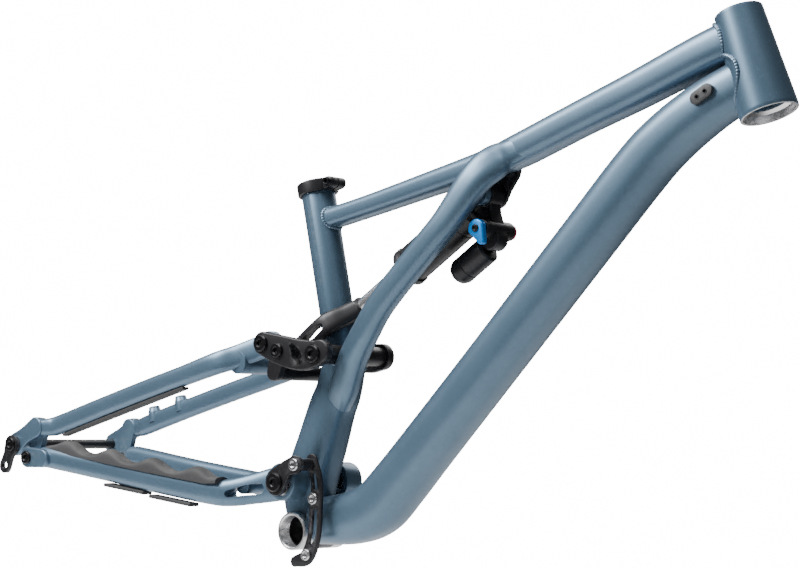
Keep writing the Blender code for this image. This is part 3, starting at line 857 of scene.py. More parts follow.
@dataclass
class HeadTube:
    """Tapered head tube with its two machined headset seats."""

    foot: Point = (518.0, 0.0, 491.1)
    up: Point = (-0.4409, 0.0, 0.8976)
    length: float = 106.9
    bottom_radius: float = 28.8
    top_radius: float = 23.8
    bore: float = 20.5

    def radius_at(self, height: float) -> float:
        """Outer radius at a height above the foot: a straight taper."""
        return self.bottom_radius + (self.top_radius - self.bottom_radius) * height / self.length

    def bore_space(self) -> bpy.types.Mesh:
        """Solid that clears the bore in the tubes that are welded on."""
        profile = [(0.1, -30), (24.5, -30), (22.5, self.length + 30), (0.1, self.length + 30)]
        return turned("head_bore_space", profile, self.foot, self.up, 0.1)

    def build(self) -> None:
        """Make the painted tube and the two bare seats."""
        top = self.length
        profile = [
            (self.bottom_radius - 0.2, 0), (self.bottom_radius, 3.2), (self.radius_at(top - 12), top - 12),
            (self.top_radius + 0.15, top - 4), (self.top_radius, top), (21.9, top), (21.9, top - 8),
            (self.bore, top - 11),
            (21.9, 12), (26.3, 9), (26.3, 0),
        ]
        mesh = turned("head_tube_shell", profile, self.foot, self.up, 0.5, closed=True, sides=128)
        add_piece("head_tube_shell", mesh, Coat.PAINT, Body.FRONT, ["head_tube"])
        lower = [
            (27.9, -0.15), (28.1, 1.4), (26.2, 1.6), (26.1, 8.6), (22.3, 11.5), (21.7, 11.5), (21.7, 10.6),
            (25.2, 7.8), (25.4, -0.15),
        ]
        mesh = turned("lower_headset_seat", lower, self.foot, self.up, 0.2, closed=True, sides=128)
        add_piece("lower_headset_seat", mesh, Coat.ALLOY, Body.FRONT)
        upper = [
            (23.5, top - 0.9), (23.6, top + 0.1), (21.5, top + 0.1), (21.5, top - 9), (21.95, top - 9),
            (21.95, top - 0.9),
        ]
        mesh = turned("upper_headset_seat", upper, self.foot, self.up, 0.2, closed=True, sides=128)
        add_piece("upper_headset_seat", mesh, Coat.ALLOY, Body.FRONT)


@dataclass
class MainTubes:
    """The welded tubes of the front triangle and the beads that join them."""

    head: HeadTube
    seat_foot: Point = (17.6, 0.0, 191.5)
    seat_top: Point = (-56.0, 0.0, 388.0)
    seat_radius: float = 19.3
    seat_bore: float = 17.4
    shell_radius: float = 21.0
    shell_bore: float = 17.3
    shell_half: float = 36.5
    top_tube: list[Point] = field(default_factory=lambda: [
        (-40, 0, 345, 12, 14), (29, 0, 368, 12, 14), (111, 0, 397, 13, 15), (190, 0, 425, 14.5, 17),
        (228, 0, 440, 17, 19), (300, 0, 476, 17.5, 19), (368, 0, 509, 18.5, 20),
        (434, 0, 543, 19.5, 21), (472, 0, 561, 20, 20),
    ])
    down_tube: list[Point] = field(default_factory=lambda: [
        (492, 0, 522, 23, 22), (447, 0, 493, 25, 26), (410, 0, 462, 26.5, 27), (380, 0, 428, 27.5, 27),
        (319, 0, 345, 27.5, 27.5), (222, 0, 213, 27.5, 28), (153, 0, 120, 28, 29),
        (118, 0, 73, 29, 29.5), (92, 0, 42, 30, 29.5), (60, 0, 25, 29, 29), (14, 0, 13, 26, 28),
    ])
    seat_lug: list[Point] = field(default_factory=lambda: [
        (18, 0, 190, 22.5, 22.5), (14, 0, 160, 24, 24), (7, 0, 137, 25, 25), (-1, 0, 100, 26, 27),
        (-9, 0, 67, 27, 28), (-12, 0, 40, 26, 28), (-6, 0, 16, 22, 28), (0, 0, 4, 17, 27),
    ])
    sidearm: list[Point] = field(default_factory=lambda: [
        (262, -4, 455, 13, 8), (226, -12, 436, 15, 10), (212, -22, 424, 19, 12), (197, -31, 404, 18, 12.5),
        (171, -36, 360, 15.5, 12.5), (145, -37, 327, 15, 12.5), (97, -36.5, 268, 15, 12.5),
        (75, -34, 233, 15.5, 12.5), (54, -27, 200, 17, 12.5), (40, -20, 168, 18, 12), (28, -14, 150, 18, 10),
    ])

    def seat_axis(self) -> np.ndarray:
        """Direction of the seat tube, upwards."""
        axis = np.array(self.seat_top) - np.array(self.seat_foot)
        return axis / np.linalg.norm(axis)

    def seat_space(self) -> bpy.types.Mesh:
        """Solid that clears the seat tube's bore in the tubes welded to it."""
        profile = [(0.1, -4), (18.4, -4), (18.4, 260), (0.1, 260)]
        return turned("seat_bore_space", profile, self.seat_foot, tuple(self.seat_axis()), 0.1)

    def build_tubes(self) -> None:
        """Make the four shaped tubes, open where a bore passes."""
        head_space = self.head.bore_space()
        shell_space = rod("shell_space", (0, 0), self.shell_radius - 0.6, -60, 60, 0.1)
        top = skin("top_tube_skin", loft_rings(self.top_tube, power=2.9))
        top = carve(top, cuts=[head_space, self.seat_space()])
        add_piece("top_tube_skin", top, Coat.PAINT, Body.FRONT, ["top_tube"])
        down = skin("down_tube_skin", loft_rings(self.down_tube, power=2.7))
        down = carve(down, cuts=[self.head.bore_space(), shell_space])
        add_piece("down_tube_skin", down, Coat.PAINT, Body.FRONT, ["down_tube"])
        lug = skin("seat_lug_skin", loft_rings(self.seat_lug, power=2.5))
        holes = [rod("shell_space_2", (0, 0), self.shell_radius - 0.6, -60, 60, 0.1), self.seat_space()]
        lug = carve(lug, cuts=[*holes, rod("pivot_space", MAIN_PIVOT, 8.3, -60, 60, 0.1)])
        add_piece("seat_lug_skin", lug, Coat.PAINT, Body.FRONT, ["seat_tube_lower"])
        arm = skin("sidearm_skin", loft_rings(self.sidearm, power=2.6))
        arm = carve(arm, cuts=[self.seat_space(), rod("eye_bolt_space", SHOCK_EYE, 6.3, -39, 40, 0.1)])
        add_piece("sidearm_skin", arm, Coat.PAINT, Body.FRONT, ["sidearm_strut"])

    def build_shells(self) -> None:
        """Make the seat tube, the bottom bracket shell with its cut thread, and a black sleeve that paints
        the shade inside the shell.
        """
        axis = self.seat_axis()
        length = float(np.linalg.norm(np.array(self.seat_top) - np.array(self.seat_foot)))
        r, bore = self.seat_radius, self.seat_bore
        profile = [(r, -1), (r, length), (bore, length), (bore, -1)]
        tube = turned("seat_tube_skin", profile, self.seat_foot, tuple(axis), 0.5, closed=True)
        slit = stroke([(-58.0, 396.0, 1.0), (-50.5, 376.0, 1.6)])
        tube = carve(tube, cuts=[plate("slit", slit, -30, -10, 0.2)])
        add_piece("seat_tube_skin", tube, Coat.PAINT, Body.FRONT, ["seat_tube_upper"])
        for side in Side:
            pitch, depth, turns = 1.27, 0.45, 11
            start = side.value * self.shell_half
            line = [(self.shell_bore + depth * (k % 2), k * pitch / 2) for k in range(2 * turns + 1)]
            rim = self.shell_radius
            profile = [(rim - 0.8, 0), (rim, 0.9), (rim, 16.4), (18.6, 16.4)]
            inner = [(a, h + 1.2) for a, h in line[::-1]] + [(self.shell_bore + 1.2, 0)]
            mesh = turned(
                "shell_" + side.word, profile + inner, (0, start, 0), (0, -side.value, 0), 0.15, closed=True,
            )
            nodes = ["bb_shell"] if side is Side.DRIVE else []
            add_piece("bottom_bracket_" + side.word, mesh, Coat.ALLOY, Body.FRONT, nodes)
        # The black sleeve in the middle of the shell's bore is painted shade: it darkens the inside of the
        # shell, where little light reaches.
        painted_shade_sleeve = sleeve("shell_core", (0, 0), 17.9, 20.8, -20.3, 20.3)
        add_piece("shell_core", painted_shade_sleeve, Coat.BLACK, Body.FRONT)

    def build_beads(self) -> None:
        """Lay the weld beads where the tubes meet the head tube, the seat tube and each other."""
        axis = tuple(self.seat_axis())
        joints = (
            ("weld_top_to_head", self.top_tube, -12, 1, self.head.foot, self.head.up, 25.4),
            ("weld_down_to_head", self.down_tube, 10, -1, self.head.foot, self.head.up, 27.2),
            ("weld_top_to_seat", self.top_tube, 5, -1, self.seat_foot, axis, self.seat_radius),
        )
        for name, stations, ring, way, foot, up, radius in joints:
            rings = loft_rings(stations, power=2.8)
            step = rings[ring + 1].mean(axis=0) - rings[ring].mean(axis=0)
            step *= way / np.linalg.norm(step)
            curve = meet_cylinder(rings[ring], step, foot, up, radius)
            add_piece(name, bead(name, curve), Coat.PAINT, Body.FRONT)
        collar = loft_rings(self.seat_lug, power=2.5)[0]
        add_piece("weld_seat_collar", bead("weld_seat_collar", collar, 1.6), Coat.PAINT, Body.FRONT)

    def build(self) -> None:
        """Make every tube, shell and bead."""
        self.build_tubes()
        self.build_shells()
        self.build_beads()


@dataclass
class SeatClamp:
    """Clamp band at the top of the seat tube."""

    tubes: MainTubes
    height: float = 14.0
    outer: float = 23.2

    def build(self) -> None:
        """Make the band with its two ears, and the bolt across them."""
        axis = self.tubes.seat_axis()
        foot = np.array(self.tubes.seat_top) - axis * 14.5
        inner = self.tubes.seat_radius + 0.2
        rim = self.outer
        profile = [(rim - 0.8, 0), (rim, 1.2), (rim, 12.8), (rim - 0.8, 14), (inner, 14), (inner, 0)]
        band = turned("clamp_band", profile, tuple(foot), tuple(axis), 0.5, closed=True)
        front = np.array([axis[2], 0, -axis[0]])
        ear = foot + axis * 7 + front * 27.0
        ear_at = (ear[0], ear[2])
        tail = (ear - front * 6)[[0, 2]]
        ears = plate("ears", stroke([(*tail, 6.6), (*ear_at, 6.3)]), -12.3, 12.3, 1.0)
        slot_start = (ear - front * 8.5)[[0, 2]]
        slot_end = (ear + front * 12)[[0, 2]]
        slot = plate("ear_slot", stroke([(*slot_start, 9.0), (*slot_end, 9.0)]), -1.2, 1.2, 0.1)
        hole = [(0.1, -5), (inner, -5), (inner, 25), (0.1, 25)]
        bore = turned("clamp_bore", hole, tuple(foot), tuple(axis), 0.1)
        band = carve(band, joins=[ears], cuts=[slot, bore])
        add_piece("clamp_band", band, Coat.BLACK, Body.FRONT, ["seat_clamp_band"])
        bolt_at = centre_of("seat_clamp_bolt")
        shank = rod("clamp_shank", bolt_at, 2.5, -12.4, 12.2)
        add_piece("clamp_shank", shank, Coat.STEEL, Body.FRONT, ["seat_clamp_bolt"])
        head = cap_bolt("clamp_bolt_head", bolt_at, -12.3, Side.DRIVE, 4.8, 5.4, 2.3)
        add_piece("clamp_bolt_head", head, Coat.DARK_BOLT, Body.FRONT)


@dataclass
class Chainstays:
    """The two chainstays with their hubs, bosses, bearings and rubber guards."""

    stations: list[Point] = field(default_factory=lambda: [
        (-392, 72, 21, 12, 11), (-375, 71, 22.5, 13, 10), (-277, 67, 23.5, 13, 9.5),
        (-200, 67, 24.5, 13.5, 9.5),
        (-103, 66, 27, 14, 9.5), (-75, 61, 31, 15.5, 9.5), (-50, 53, 39, 17, 9), (-25, 46, 48, 19, 9),
        (-8, 44, 54, 19, 9),
    ])
    hub_inner: float = 31.0
    hub_outer: float = 57.0
    hub_radius: float = 21.0

    def one_side(self, side: Side) -> None:
        """Make one stay with its hub and rear boss joined and its window and bores cut.

        Args:
            side: Side of the frame.
        """
        s = side.value
        word = side.word
        stations = [(x, y * s, z, a, b) for x, y, z, a, b in self.stations]
        stay = skin("chainstay_" + word + "_skin", loft_rings(stations))
        hub = rod("hub", MAIN_PIVOT, self.hub_radius, s * self.hub_inner, s * self.hub_outer, 2.5)
        boss = plate("boss", stroke([(-382, 21, 11), (*REAR_PIVOT, 12.5)]), s * 77.0, s * 86.0, 1.4)
        cuts = [
            plate("window", stroke([(-72, 30, 4), (-54, 37, 5.5), (-36, 42, 6.5)]), s * 20, s * 80, 0.2),
            rod("bore", MAIN_PIVOT, 15.2, s * 20, s * 80, 0.2),
            rod("tab_space", REAR_PIVOT, 13, s * 60, s * 77.1, 0.2),
            rod("bolt_space", REAR_PIVOT, 5.3, s * 60, s * 95, 0.2),
        ]
        stay = carve(stay, joins=[hub, boss], cuts=cuts)
        add_piece("chainstay_" + word + "_skin", stay, Coat.PAINT, Body.CHAINSTAY, ["chainstay_" + word])
        ring = sleeve("bearing", MAIN_PIVOT, 8.6, 15.1, s * 41, s * 55.6)
        node = "pivot_bearing_" + word
        add_piece(node + "_ring", ring, Coat.ALLOY, Body.CHAINSTAY, [node])
        shank = rod("shank", REAR_PIVOT, 5, s * 69, s * 86.4)
        add_piece("rear_pivot_shank_" + word, shank, Coat.STEEL, Body.CHAINSTAY, ["rear_pivot_bolt_" + word])
        head = cap_bolt("head", REAR_PIVOT, s * 86.1, side, 8, 3.2, 3.6)
        add_piece("rear_pivot_head_" + word, head, Coat.DARK_BOLT, Body.CHAINSTAY)

    def top_height(self, x: np.ndarray) -> np.ndarray:
        """Height of the stay's top, straight between its stations.

        Args:
            x: Places along X.

        Returns:
            The heights there.
        """
        table = np.array(sorted((s[0], s[2] + s[3]) for s in self.stations))
        return np.interp(x, table[:, 0], table[:, 1])

    def build_guard(self) -> None:
        """Ribbed rubber guard on the drive side: a D-shaped section carried along the stay.

        With w = (1 - cos) / 2 in four waves, the crown stands 2.6 + 10 * w^1.3 over the stay, and
        the section rises as sin^0.55 from one edge to the other.
        """
        x = np.linspace(-386, -86, 181)
        wave = 0.5 * (1 - np.cos(TURN * 4 * (x + 386) / 300))
        base = self.top_height(x)
        crown = 2.6 + 10.0 * wave**1.3
        angle = np.linspace(0, math.pi, 25)
        across = np.cos(angle)
        lift = np.sin(angle) ** 0.55
        y = -67.5 - 10.2 * across
        height = base[:, None] - 4.5 + (crown[:, None] + 4.5) * lift[None]
        under = np.broadcast_to(base[:, None] - 4.5, (len(x), len(angle) - 2))
        upper = np.stack(np.broadcast_arrays(x[:, None], y[None], height), axis=-1)
        lower = np.stack(np.broadcast_arrays(x[:, None], y[None, 1:-1][:, ::-1], under), axis=-1)
        mesh = skin("chainstay_guard", np.concatenate([upper, lower], axis=1))
        add_piece("chainstay_guard", mesh, Coat.RUBBER, Body.CHAINSTAY, ["chainstay_protector"])

    def build(self) -> None:
        """Make both sides, the bridge and the guards."""
        for side in Side:
            self.one_side(side)
        x, z = centre_of("chainstay_bridge")
        bridge = rod("chainstay_bridge_bar", (x, z), 10.8, -56, 56, 0.5)
        add_piece("chainstay_bridge_bar", bridge, Coat.PAINT, Body.CHAINSTAY, ["chainstay_bridge"])
        self.build_guard()
        for node in ("lower_guard_front", "lower_guard_rear"):
            refine(node, Coat.RUBBER, Body.CHAINSTAY, 1.2)


@dataclass
class Seatstays:
    """The two seatstays with lugs, brake bosses, dropouts, axle and hanger."""

    stations: list[Point] = field(default_factory=lambda: [
        (-403, 77, 56, 10, 7), (-385, 74, 59, 11, 7), (-366, 70, 66, 12, 7.5), (-297, 69, 96, 12, 7.5),
        (-214, 69, 131, 12, 7.5), (-165, 69, 151, 12, 7.5), (-119, 66, 171, 13, 7.5),
        (-97, 55, 182, 13.5, 6.5),
        (-76, 45.4, 194, 13.5, 4.6), (-58, 43.6, 202, 12.5, 4.8),
    ])

    def one_side(self, side: Side) -> None:
        """Make one stay, its dropout and its bearing.

        Args:
            side: Side of the frame.
        """
        s = side.value
        word = side.word
        stations = [(x, y * s, z, a, b) for x, y, z, a, b in self.stations]
        stay = skin("seatstay_" + word + "_skin", loft_rings(stations))
        joins = [rod("lug", LINK_REAR, 14, s * 38, s * 49.2, 1.4)]
        if side is Side.LEFT:
            for x, z in ((-352, 72), (-306, 92)):
                profile = [(0.1, 0), (9.5, 0), (8.6, 12), (7, 17), (7, 19), (0.1, 19)]
                joins.append(turned("brake_boss", profile, (x, 69, z), (-0.38, 0, 0.925), 0.8))
        stay = carve(stay, joins=joins, cuts=[rod("lug_bore", LINK_REAR, 10.7, s * 30, s * 60, 0.2)])
        add_piece("seatstay_" + word + "_skin", stay, Coat.PAINT, Body.SEATSTAY, ["seatstay_" + word])
        ring = sleeve("bearing", LINK_REAR, 6.6, 10.6, s * 39.5, s * 48.4)
        node = "seatstay_bearing_" + word
        add_piece(node + "_ring", ring, Coat.ALLOY, Body.SEATSTAY, [node])
        outline = stroke([(*WHEEL_AXLE, 14), (-420, 44, 11), (-403, 56, 12.7)])
        dropout = plate("dropout", outline, s * 74, s * 84, 1.6)
        tab = plate("tab", stroke([(-403, 56, 12), (*REAR_PIVOT, 11)]), s * 68, s * 76.5, 1.2)
        holes = [
            rod("axle_hole", WHEEL_AXLE, 6.3, s * 60, s * 95, 0.2),
            rod("tab_hole", REAR_PIVOT, 5.3, s * 60, s * 95, 0.2),
        ]
        dropout = carve(dropout, joins=[tab], cuts=holes)
        add_piece("dropout_" + word + "_skin", dropout, Coat.PAINT, Body.SEATSTAY, ["dropout_" + word])

    def build(self) -> None:
        """Make both sides, the bridge and the wheel's fastenings."""
        for side in Side:
            self.one_side(side)
        x, z = centre_of("seatstay_bridge")
        bridge = rod("seatstay_bridge_bar", (x, z), 12.6, -58, 58, 0.5)
        add_piece("seatstay_bridge_bar", bridge, Coat.PAINT, Body.SEATSTAY, ["seatstay_bridge"])
        refine("seatstay_protector", Coat.RUBBER, Body.SEATSTAY, 1.0)
        refine("derailleur_hanger", Coat.BLACK, Body.SEATSTAY, 0.8)
        axle = rod("wheel_axle", WHEEL_AXLE, 6, -83.4, 85)
        add_piece("wheel_axle", axle, Coat.BLACK, Body.SEATSTAY, ["rear_axle"])
        head = cap_bolt("wheel_axle_head", WHEEL_AXLE, 84.2, Side.LEFT, 9, 5, 3.6)
        add_piece("wheel_axle_head", head, Coat.BLACK, Body.SEATSTAY)
        nut = cap_bolt("hanger_nut", WHEEL_AXLE, -89.3, Side.DRIVE, 8.5, 2.6, 3.4)
        add_piece("hanger_nut", nut, Coat.DARK_BOLT, Body.SEATSTAY, ["hanger_bolt"])


@dataclass
class Rocker:
    """The two link plates, the bar between them and their bolts."""

    inner: float = 50.0
    outer: float = 60.0

    def build(self) -> None:
        """Make the plates with their window, the bar and six bolt heads."""
        bar_at = centre_of("link_crossbar")
        band = [(*LINK_REAR, 13), (-28, 198, 16.5), (4, 196.5, 17), (*LINK_FRONT, 15)]
        for side in Side:
            s = side.value
            word = side.word
            outline = stroke([*band, (32, 204, 13)] if side is Side.DRIVE else band)
            link = plate("link_" + word, outline, s * self.inner, s * self.outer, 1.8)
            lobe_outline = stroke([(-30, 194, 12), (*bar_at, 9)])
            lobe = plate("lobe", lobe_outline, s * (self.inner + 0.05), s * (self.outer - 0.6), 1.2)
            window_outline = stroke([(-10, 205, 3), (-1, 197, 6.5), (5, 189, 4)])
            window = plate("window", window_outline, s * 40, s * 70, 0.2)
            link = carve(link, joins=[lobe], cuts=[window])
            add_piece("link_" + word, link, Coat.BLACK, Body.ROCKER, ["link_plate_" + word])
            face = s * (self.outer - 0.3)
            heads = (
                ("link_rear_bolt_", LINK_REAR, 9.6, 3.8), ("link_yoke_bolt_", YOKE_PIVOT, 8.4, 3.4),
                ("link_front_cap_", LINK_FRONT, 10.2, 4.2),
            )
            for label, at, size, socket in heads:
                head = cap_bolt(label + word + "_head", at, face, side, size, 4.2, socket)
                add_piece(label + word + "_head", head, Coat.DARK_BOLT, Body.ROCKER, [label + word])
            spacer = sleeve("spacer", YOKE_PIVOT, 4.6, 9, s * 36.8, s * 50.2)
            add_piece("link_spacer_" + word, spacer, Coat.BLACK, Body.ROCKER)
        bar = rod("link_bar", bar_at, 8, -50.4, 50.4, 0.5)
        add_piece("link_bar", bar, Coat.BLACK, Body.ROCKER, ["link_crossbar"])


@dataclass
class Shock:
    """Air shock with a side reservoir, its yoke and its two dials."""

    can_radius: float = 21.0
    below: float = 46.0

    def axis(self) -> np.ndarray:
        """Direction from the front eye to the yoke's pivot."""
        span = np.array([YOKE_PIVOT[0] - SHOCK_EYE[0], 0.0, YOKE_PIVOT[1] - SHOCK_EYE[1]])
        return span / np.linalg.norm(span)

    def point(self, distance: float, below: float = 0.0) -> np.ndarray:
        """Point on the shock: eye + axis * distance + down * below.

        Args:
            distance: Distance from the front eye along the axis.
            below: Distance below the axis, square to it.

        Returns:
            The point.
        """
        axis = self.axis()
        down = np.array([-axis[2], 0.0, axis[0]])
        down *= -math.copysign(1.0, down[2])
        return np.array([SHOCK_EYE[0], 0.0, SHOCK_EYE[1]]) + axis * distance + down * below

    def flat(self, distance: float, below: float, radius: float) -> Point:
        """Circle for a stroke, at a place on the shock."""
        at = self.point(distance, below)
        return (at[0], at[2], radius)

    def build_body(self) -> None:
        """Make the air can, its rings, the head and the reservoir."""
        way = tuple(self.axis())
        r = self.can_radius
        profile = [
            (0.1, 20), (17.5, 20), (18.2, 24.5), (r, 28), (r, 44), (r - 0.5, 44.6), (r - 0.5, 46.4), (r, 47),
            (r, 121), (r - 0.8, 122), (r - 0.8, 124.5), (22.4, 125.5), (22.4, 131.5), (20.6, 134),
            (12.4, 134), (12.4, 68), (0.1, 68),
        ]
        can = turned("air_can", profile, tuple(self.point(0)), way, 0.5)
        add_piece("air_can", can, Coat.BLACK, Body.SHOCK, ["shock_air_can"])
        arm = [self.flat(3, 0, 11), self.flat(11, 16, 10), self.flat(17, 34, 11.5), self.flat(20, 42, 12.5)]
        head = rod("shock_head_casting", SHOCK_EYE, 12.6, -10.8, 10.8, 1.2)
        joins = [
            plate("arm", stroke(arm), -9.5, 9.5, 2.0), rod("valve", DIAL_CENTRE, 10.4, -23.8, 23.8, 1.0),
            turned("neck", [(0.1, 2), (10.5, 2), (12.5, 21), (0.1, 21)], tuple(self.point(0)), way, 0.4),
        ]
        can_space = [(0.1, 19.8), (r, 19.8), (r, 60), (0.1, 60)]
        keep_can = turned("can_space", can_space, tuple(self.point(0)), way, 0.1)
        head = carve(head, joins=joins, cuts=[keep_can])
        add_piece("shock_head_casting", head, Coat.BLACK, Body.SHOCK, ["shock_head"])
        bush = sleeve("eye_bush", SHOCK_EYE, 6.1, 8.2, -11.0, 11.0)
        add_piece("eye_bush", bush, Coat.ALLOY, Body.SHOCK)
        profile = [
            (0.1, 0), (12.5, 0), (14.5, 2), (14.5, 30), (14.0, 30.5), (14.0, 32), (14.5, 32.5), (14.5, 42),
            (13.2, 45), (11.5, 48), (8, 50.5), (4, 51.8), (0.1, 52),
        ]
        tank = turned("side_reservoir", profile, tuple(self.point(31.5, self.below)), way, 0.4)
        add_piece("side_reservoir", tank, Coat.BLACK, Body.SHOCK, ["shock_reservoir"])

    def build_shaft(self) -> None:
        """Make the polished shaft with its travel ring, and the forked yoke."""
        way = tuple(self.axis())
        start = tuple(self.point(0))
        shaft = turned("damper_shaft", [(0.1, 118), (10.8, 118), (10.8, 206), (0.1, 206)], start, way, 0.4)
        add_piece("damper_shaft", shaft, Coat.ALLOY, Body.SHAFT, ["shock_shaft"])
        band = [(10.7, 137), (12.1, 137.4), (12.1, 139.6), (10.7, 140)]
        ring = turned("travel_ring", band, start, way, 0.4, closed=True)
        add_piece("travel_ring", ring, Coat.RUBBER, Body.SHAFT)
        block = [(0.1, 205.5), (12, 205.5), (14, 208), (14, 219), (12, 222), (0.1, 222)]
        yoke = turned("yoke", block, start, way, 0.6)
        joins = []
        for side in Side:
            s = side.value
            table = (
                (212, 7, 11, 8), (224, 15, 11.5, 7.5), (236, 24.5, 12.5, 6.5), (250, 29, 13, 6.5),
                (285, 29, 11.5, 6.5), (296, 29, 10, 6.5),
            )
            rows = [(*(self.point(d) + np.array([0, s * y, 0])), a, b) for d, y, a, b in table]
            joins.append(skin("arm", loft_rings(rows, power=3.0)))
            joins.append(rod("eye", YOKE_PIVOT, 12, s * 22.5, s * 35.8, 1.2))
        window = stroke([self.flat(277, 0, 3.5), self.flat(262, 0, 5.5), self.flat(248, 0, 4)])
        cuts = [plate("window", window, -50, -15, 0.2), rod("yoke_bore", YOKE_PIVOT, 5.2, -50, 50, 0.2)]
        yoke = carve(yoke, joins=joins, cuts=cuts)
        add_piece("forked_yoke", yoke, Coat.BLACK, Body.SHAFT, ["shock_yoke"])

    def build_dials(self) -> None:
        """Make the blue lever and the ribbed red dial, on the valve's axis."""
        x, z = DIAL_CENTRE
        outline = stroke([(x, z, 9.8), (x + 4, z - 6, 7), (x + 8, z - 12, 4.3)])
        lever = plate("blue_lever", outline, -31.8, -24.4, 1.4)
        add_piece("blue_lever", lever, Coat.BLUE, Body.LEVER, ["compression_lever"])
        screw = cap_bolt("lever_screw", (x, z), -31.5, Side.DRIVE, 4.2, 1.6, 2.0)
        add_piece("lever_screw", screw, Coat.DARK_BOLT, Body.LEVER)
        profile = [(0.1, 24.4), (9, 24.4), (9, 28.2), (7.6, 29), (3, 29), (2.4, 28), (0.1, 28)]
        dial = turned("red_dial", profile, (x, 0, z), (0, 1, 0), 0.4)
        notches = [
            rod(f"notch_{k}", (x + 9.6 * math.cos(a), z + 9.6 * math.sin(a)), 1.2, 24.0, 30.0, 0.1)
            for k, a in enumerate(TURN * k / 12 for k in range(12))
        ]
        dial = carve(dial, cuts=notches)
        add_piece("red_dial", dial, Coat.RED, Body.DIAL, ["rebound_dial"])

    def build(self) -> None:
        """Make the whole shock."""
        self.build_body()
        self.build_shaft()
        self.build_dials()


@dataclass
class FrontFittings:
    """Shock mounts, chain guide, pivot axles, cable ports and bottle bosses."""

    def build_mounts(self) -> None:
        """Make the shock's bracket, boss and bolt."""
        refine("shock_bracket", Coat.BLACK, Body.FRONT, 1.0)
        boss = sleeve("shock_boss", SHOCK_EYE, 6.2, 11.5, -20.5, -11.4)
        add_piece("shock_boss", boss, Coat.PAINT, Body.FRONT, ["shock_mount_boss"])
        bolt = rod("shock_bolt", SHOCK_EYE, 5.9, -38.6, 17.4)
        add_piece("shock_bolt", bolt, Coat.STEEL, Body.FRONT, ["shock_mount_bolt"])
        head = cap_bolt("shock_bolt_head", SHOCK_EYE, 17.0, Side.LEFT, 9, 4.4, 3.6)
        add_piece("shock_bolt_head", head, Coat.STEEL, Body.FRONT)

    def build_guide(self) -> None:
        """Make the chain guide's two plates and its bolts."""
        outline = stroke([(22, 82, 8), (33, 60, 8), (36, 32, 9), (38, 2, 9), (31, -22, 9), (14, -31, 6)])
        slots = (
            stroke([(28.5, 67, 2.8), (33, 54, 3.2)]), stroke([(36, 28, 3.2), (37.5, 8, 3.8), (36, -6, 3.2)]),
        )
        cuts = [plate(f"guide_slot_{k}", slot, -50, -30, 0.1) for k, slot in enumerate(slots)]
        holes = (centre_of("iscg_bolt_upper"), centre_of("iscg_bolt_lower"), GUIDE_BOLT)
        cuts += [rod(f"guide_hole_{k}", at, 4.4, -50, -30, 0.1) for k, at in enumerate(holes)]
        back = carve(plate("guide_back", outline, -41, -37.6, 0.8), cuts=cuts)
        add_piece("guide_back", back, Coat.BLACK, Body.FRONT, ["guide_backplate"])
        refine("guide_outer_plate", Coat.BLACK, Body.FRONT, 0.9)
        bolts = (
            ("iscg_bolt_upper", -41.2, 6.5, 3.2), ("iscg_bolt_lower", -41.2, 6.5, 3.2),
            ("guide_bolt", -65.2, 7, 3.3),
        )
        for node, face, size, height in bolts:
            at = centre_of(node)
            shank = rod(node + "_shank", at, 3.9, face, face + 9.5)
            add_piece(node + "_shank", shank, Coat.STEEL, Body.FRONT, [node])
            head = cap_bolt(node + "_head", at, face + 0.2, Side.DRIVE, size, height, 2.8)
            add_piece(node + "_head", head, Coat.STEEL, Body.FRONT)

    def build_axles(self) -> None:
        """Make the main pivot's axle with its two heads, and the link's axle."""
        shaft = rod("main_axle", MAIN_PIVOT, 8, -66, 58)
        add_piece("main_axle", shaft, Coat.STEEL, Body.FRONT, ["main_pivot_axle"])
        drive = cap_bolt("main_axle_drive_head", MAIN_PIVOT, -65.2, Side.DRIVE, 10.8, 3.6, 4.2)
        add_piece("main_axle_drive_head", drive, Coat.DARK_BOLT, Body.FRONT)
        left = cap_bolt("main_axle_left_head", MAIN_PIVOT, 57.6, Side.LEFT, 12, 4.2, 4.2)
        add_piece("main_axle_left_head", left, Coat.DARK_BOLT, Body.FRONT)
        profile = [
            (0.1, -59.4), (7, -59.4), (7, -49.5), (11, -49.5), (11, -22), (11, 22), (11, 49.5), (7, 49.5),
            (7, 59.4), (0.1, 59.4),
        ]
        link = turned("link_axle", profile, (LINK_FRONT[0], 0, LINK_FRONT[1]), (0, 1, 0), 0.4)
        add_piece("link_axle", link, Coat.BLACK, Body.FRONT, ["link_pivot_axle"])

    def build_ports(self) -> None:
        """Make the oval cable ports with their grommets, and the bottle bosses."""
        for side in Side:
            s = side.value
            word = side.word
            port = plate("port_" + word, stroke([(452, 500, 6.5), (463, 508, 6.5)]), s * 25.0, s * 28.8, 0.9)
            places = [(453.5 + 8 * k, 501 + 5.8 * k) for k in range(2)]
            holes = [rod(f"hole_{k}", at, 2.6, s * 20, s * 35, 0.1) for k, at in enumerate(places)]
            port = carve(port, cuts=holes)
            add_piece("cable_port_" + word + "_cover", port, Coat.PLASTIC, Body.FRONT, ["cable_port_" + word])
            for k, at in enumerate(places):
                ring = sleeve("grommet", at, 1.7, 2.9, s * 26.5, s * 29.2)
                add_piece(f"grommet_{word}_{k + 1}", ring, Coat.RUBBER, Body.FRONT)
        way = np.array([-0.806, 0, 0.592])
        for node, x, z in (("bottle_boss_lower", 130, 89.2), ("bottle_boss_upper", 184, 161.6)):
            foot = np.array([x, 0, z]) + way * 27.6
            profile = [
                (0.1, 0), (6, 0), (5.6, 2.4), (4.4, 4.7), (2.9, 5.0), (2.5, 4.4), (2.3, 4.1), (2.3, 2.2),
                (0.1, 2.2),
            ]
            boss = turned(node + "_bolt", profile, tuple(foot), tuple(way), 0.3, hexed=(2.3,))
            add_piece(node + "_bolt", boss, Coat.STEEL, Body.FRONT, [node])

    def build(self) -> None:
        """Make every fitting."""
        self.build_mounts()
        self.build_guide()
        self.build_axles()
        self.build_ports()


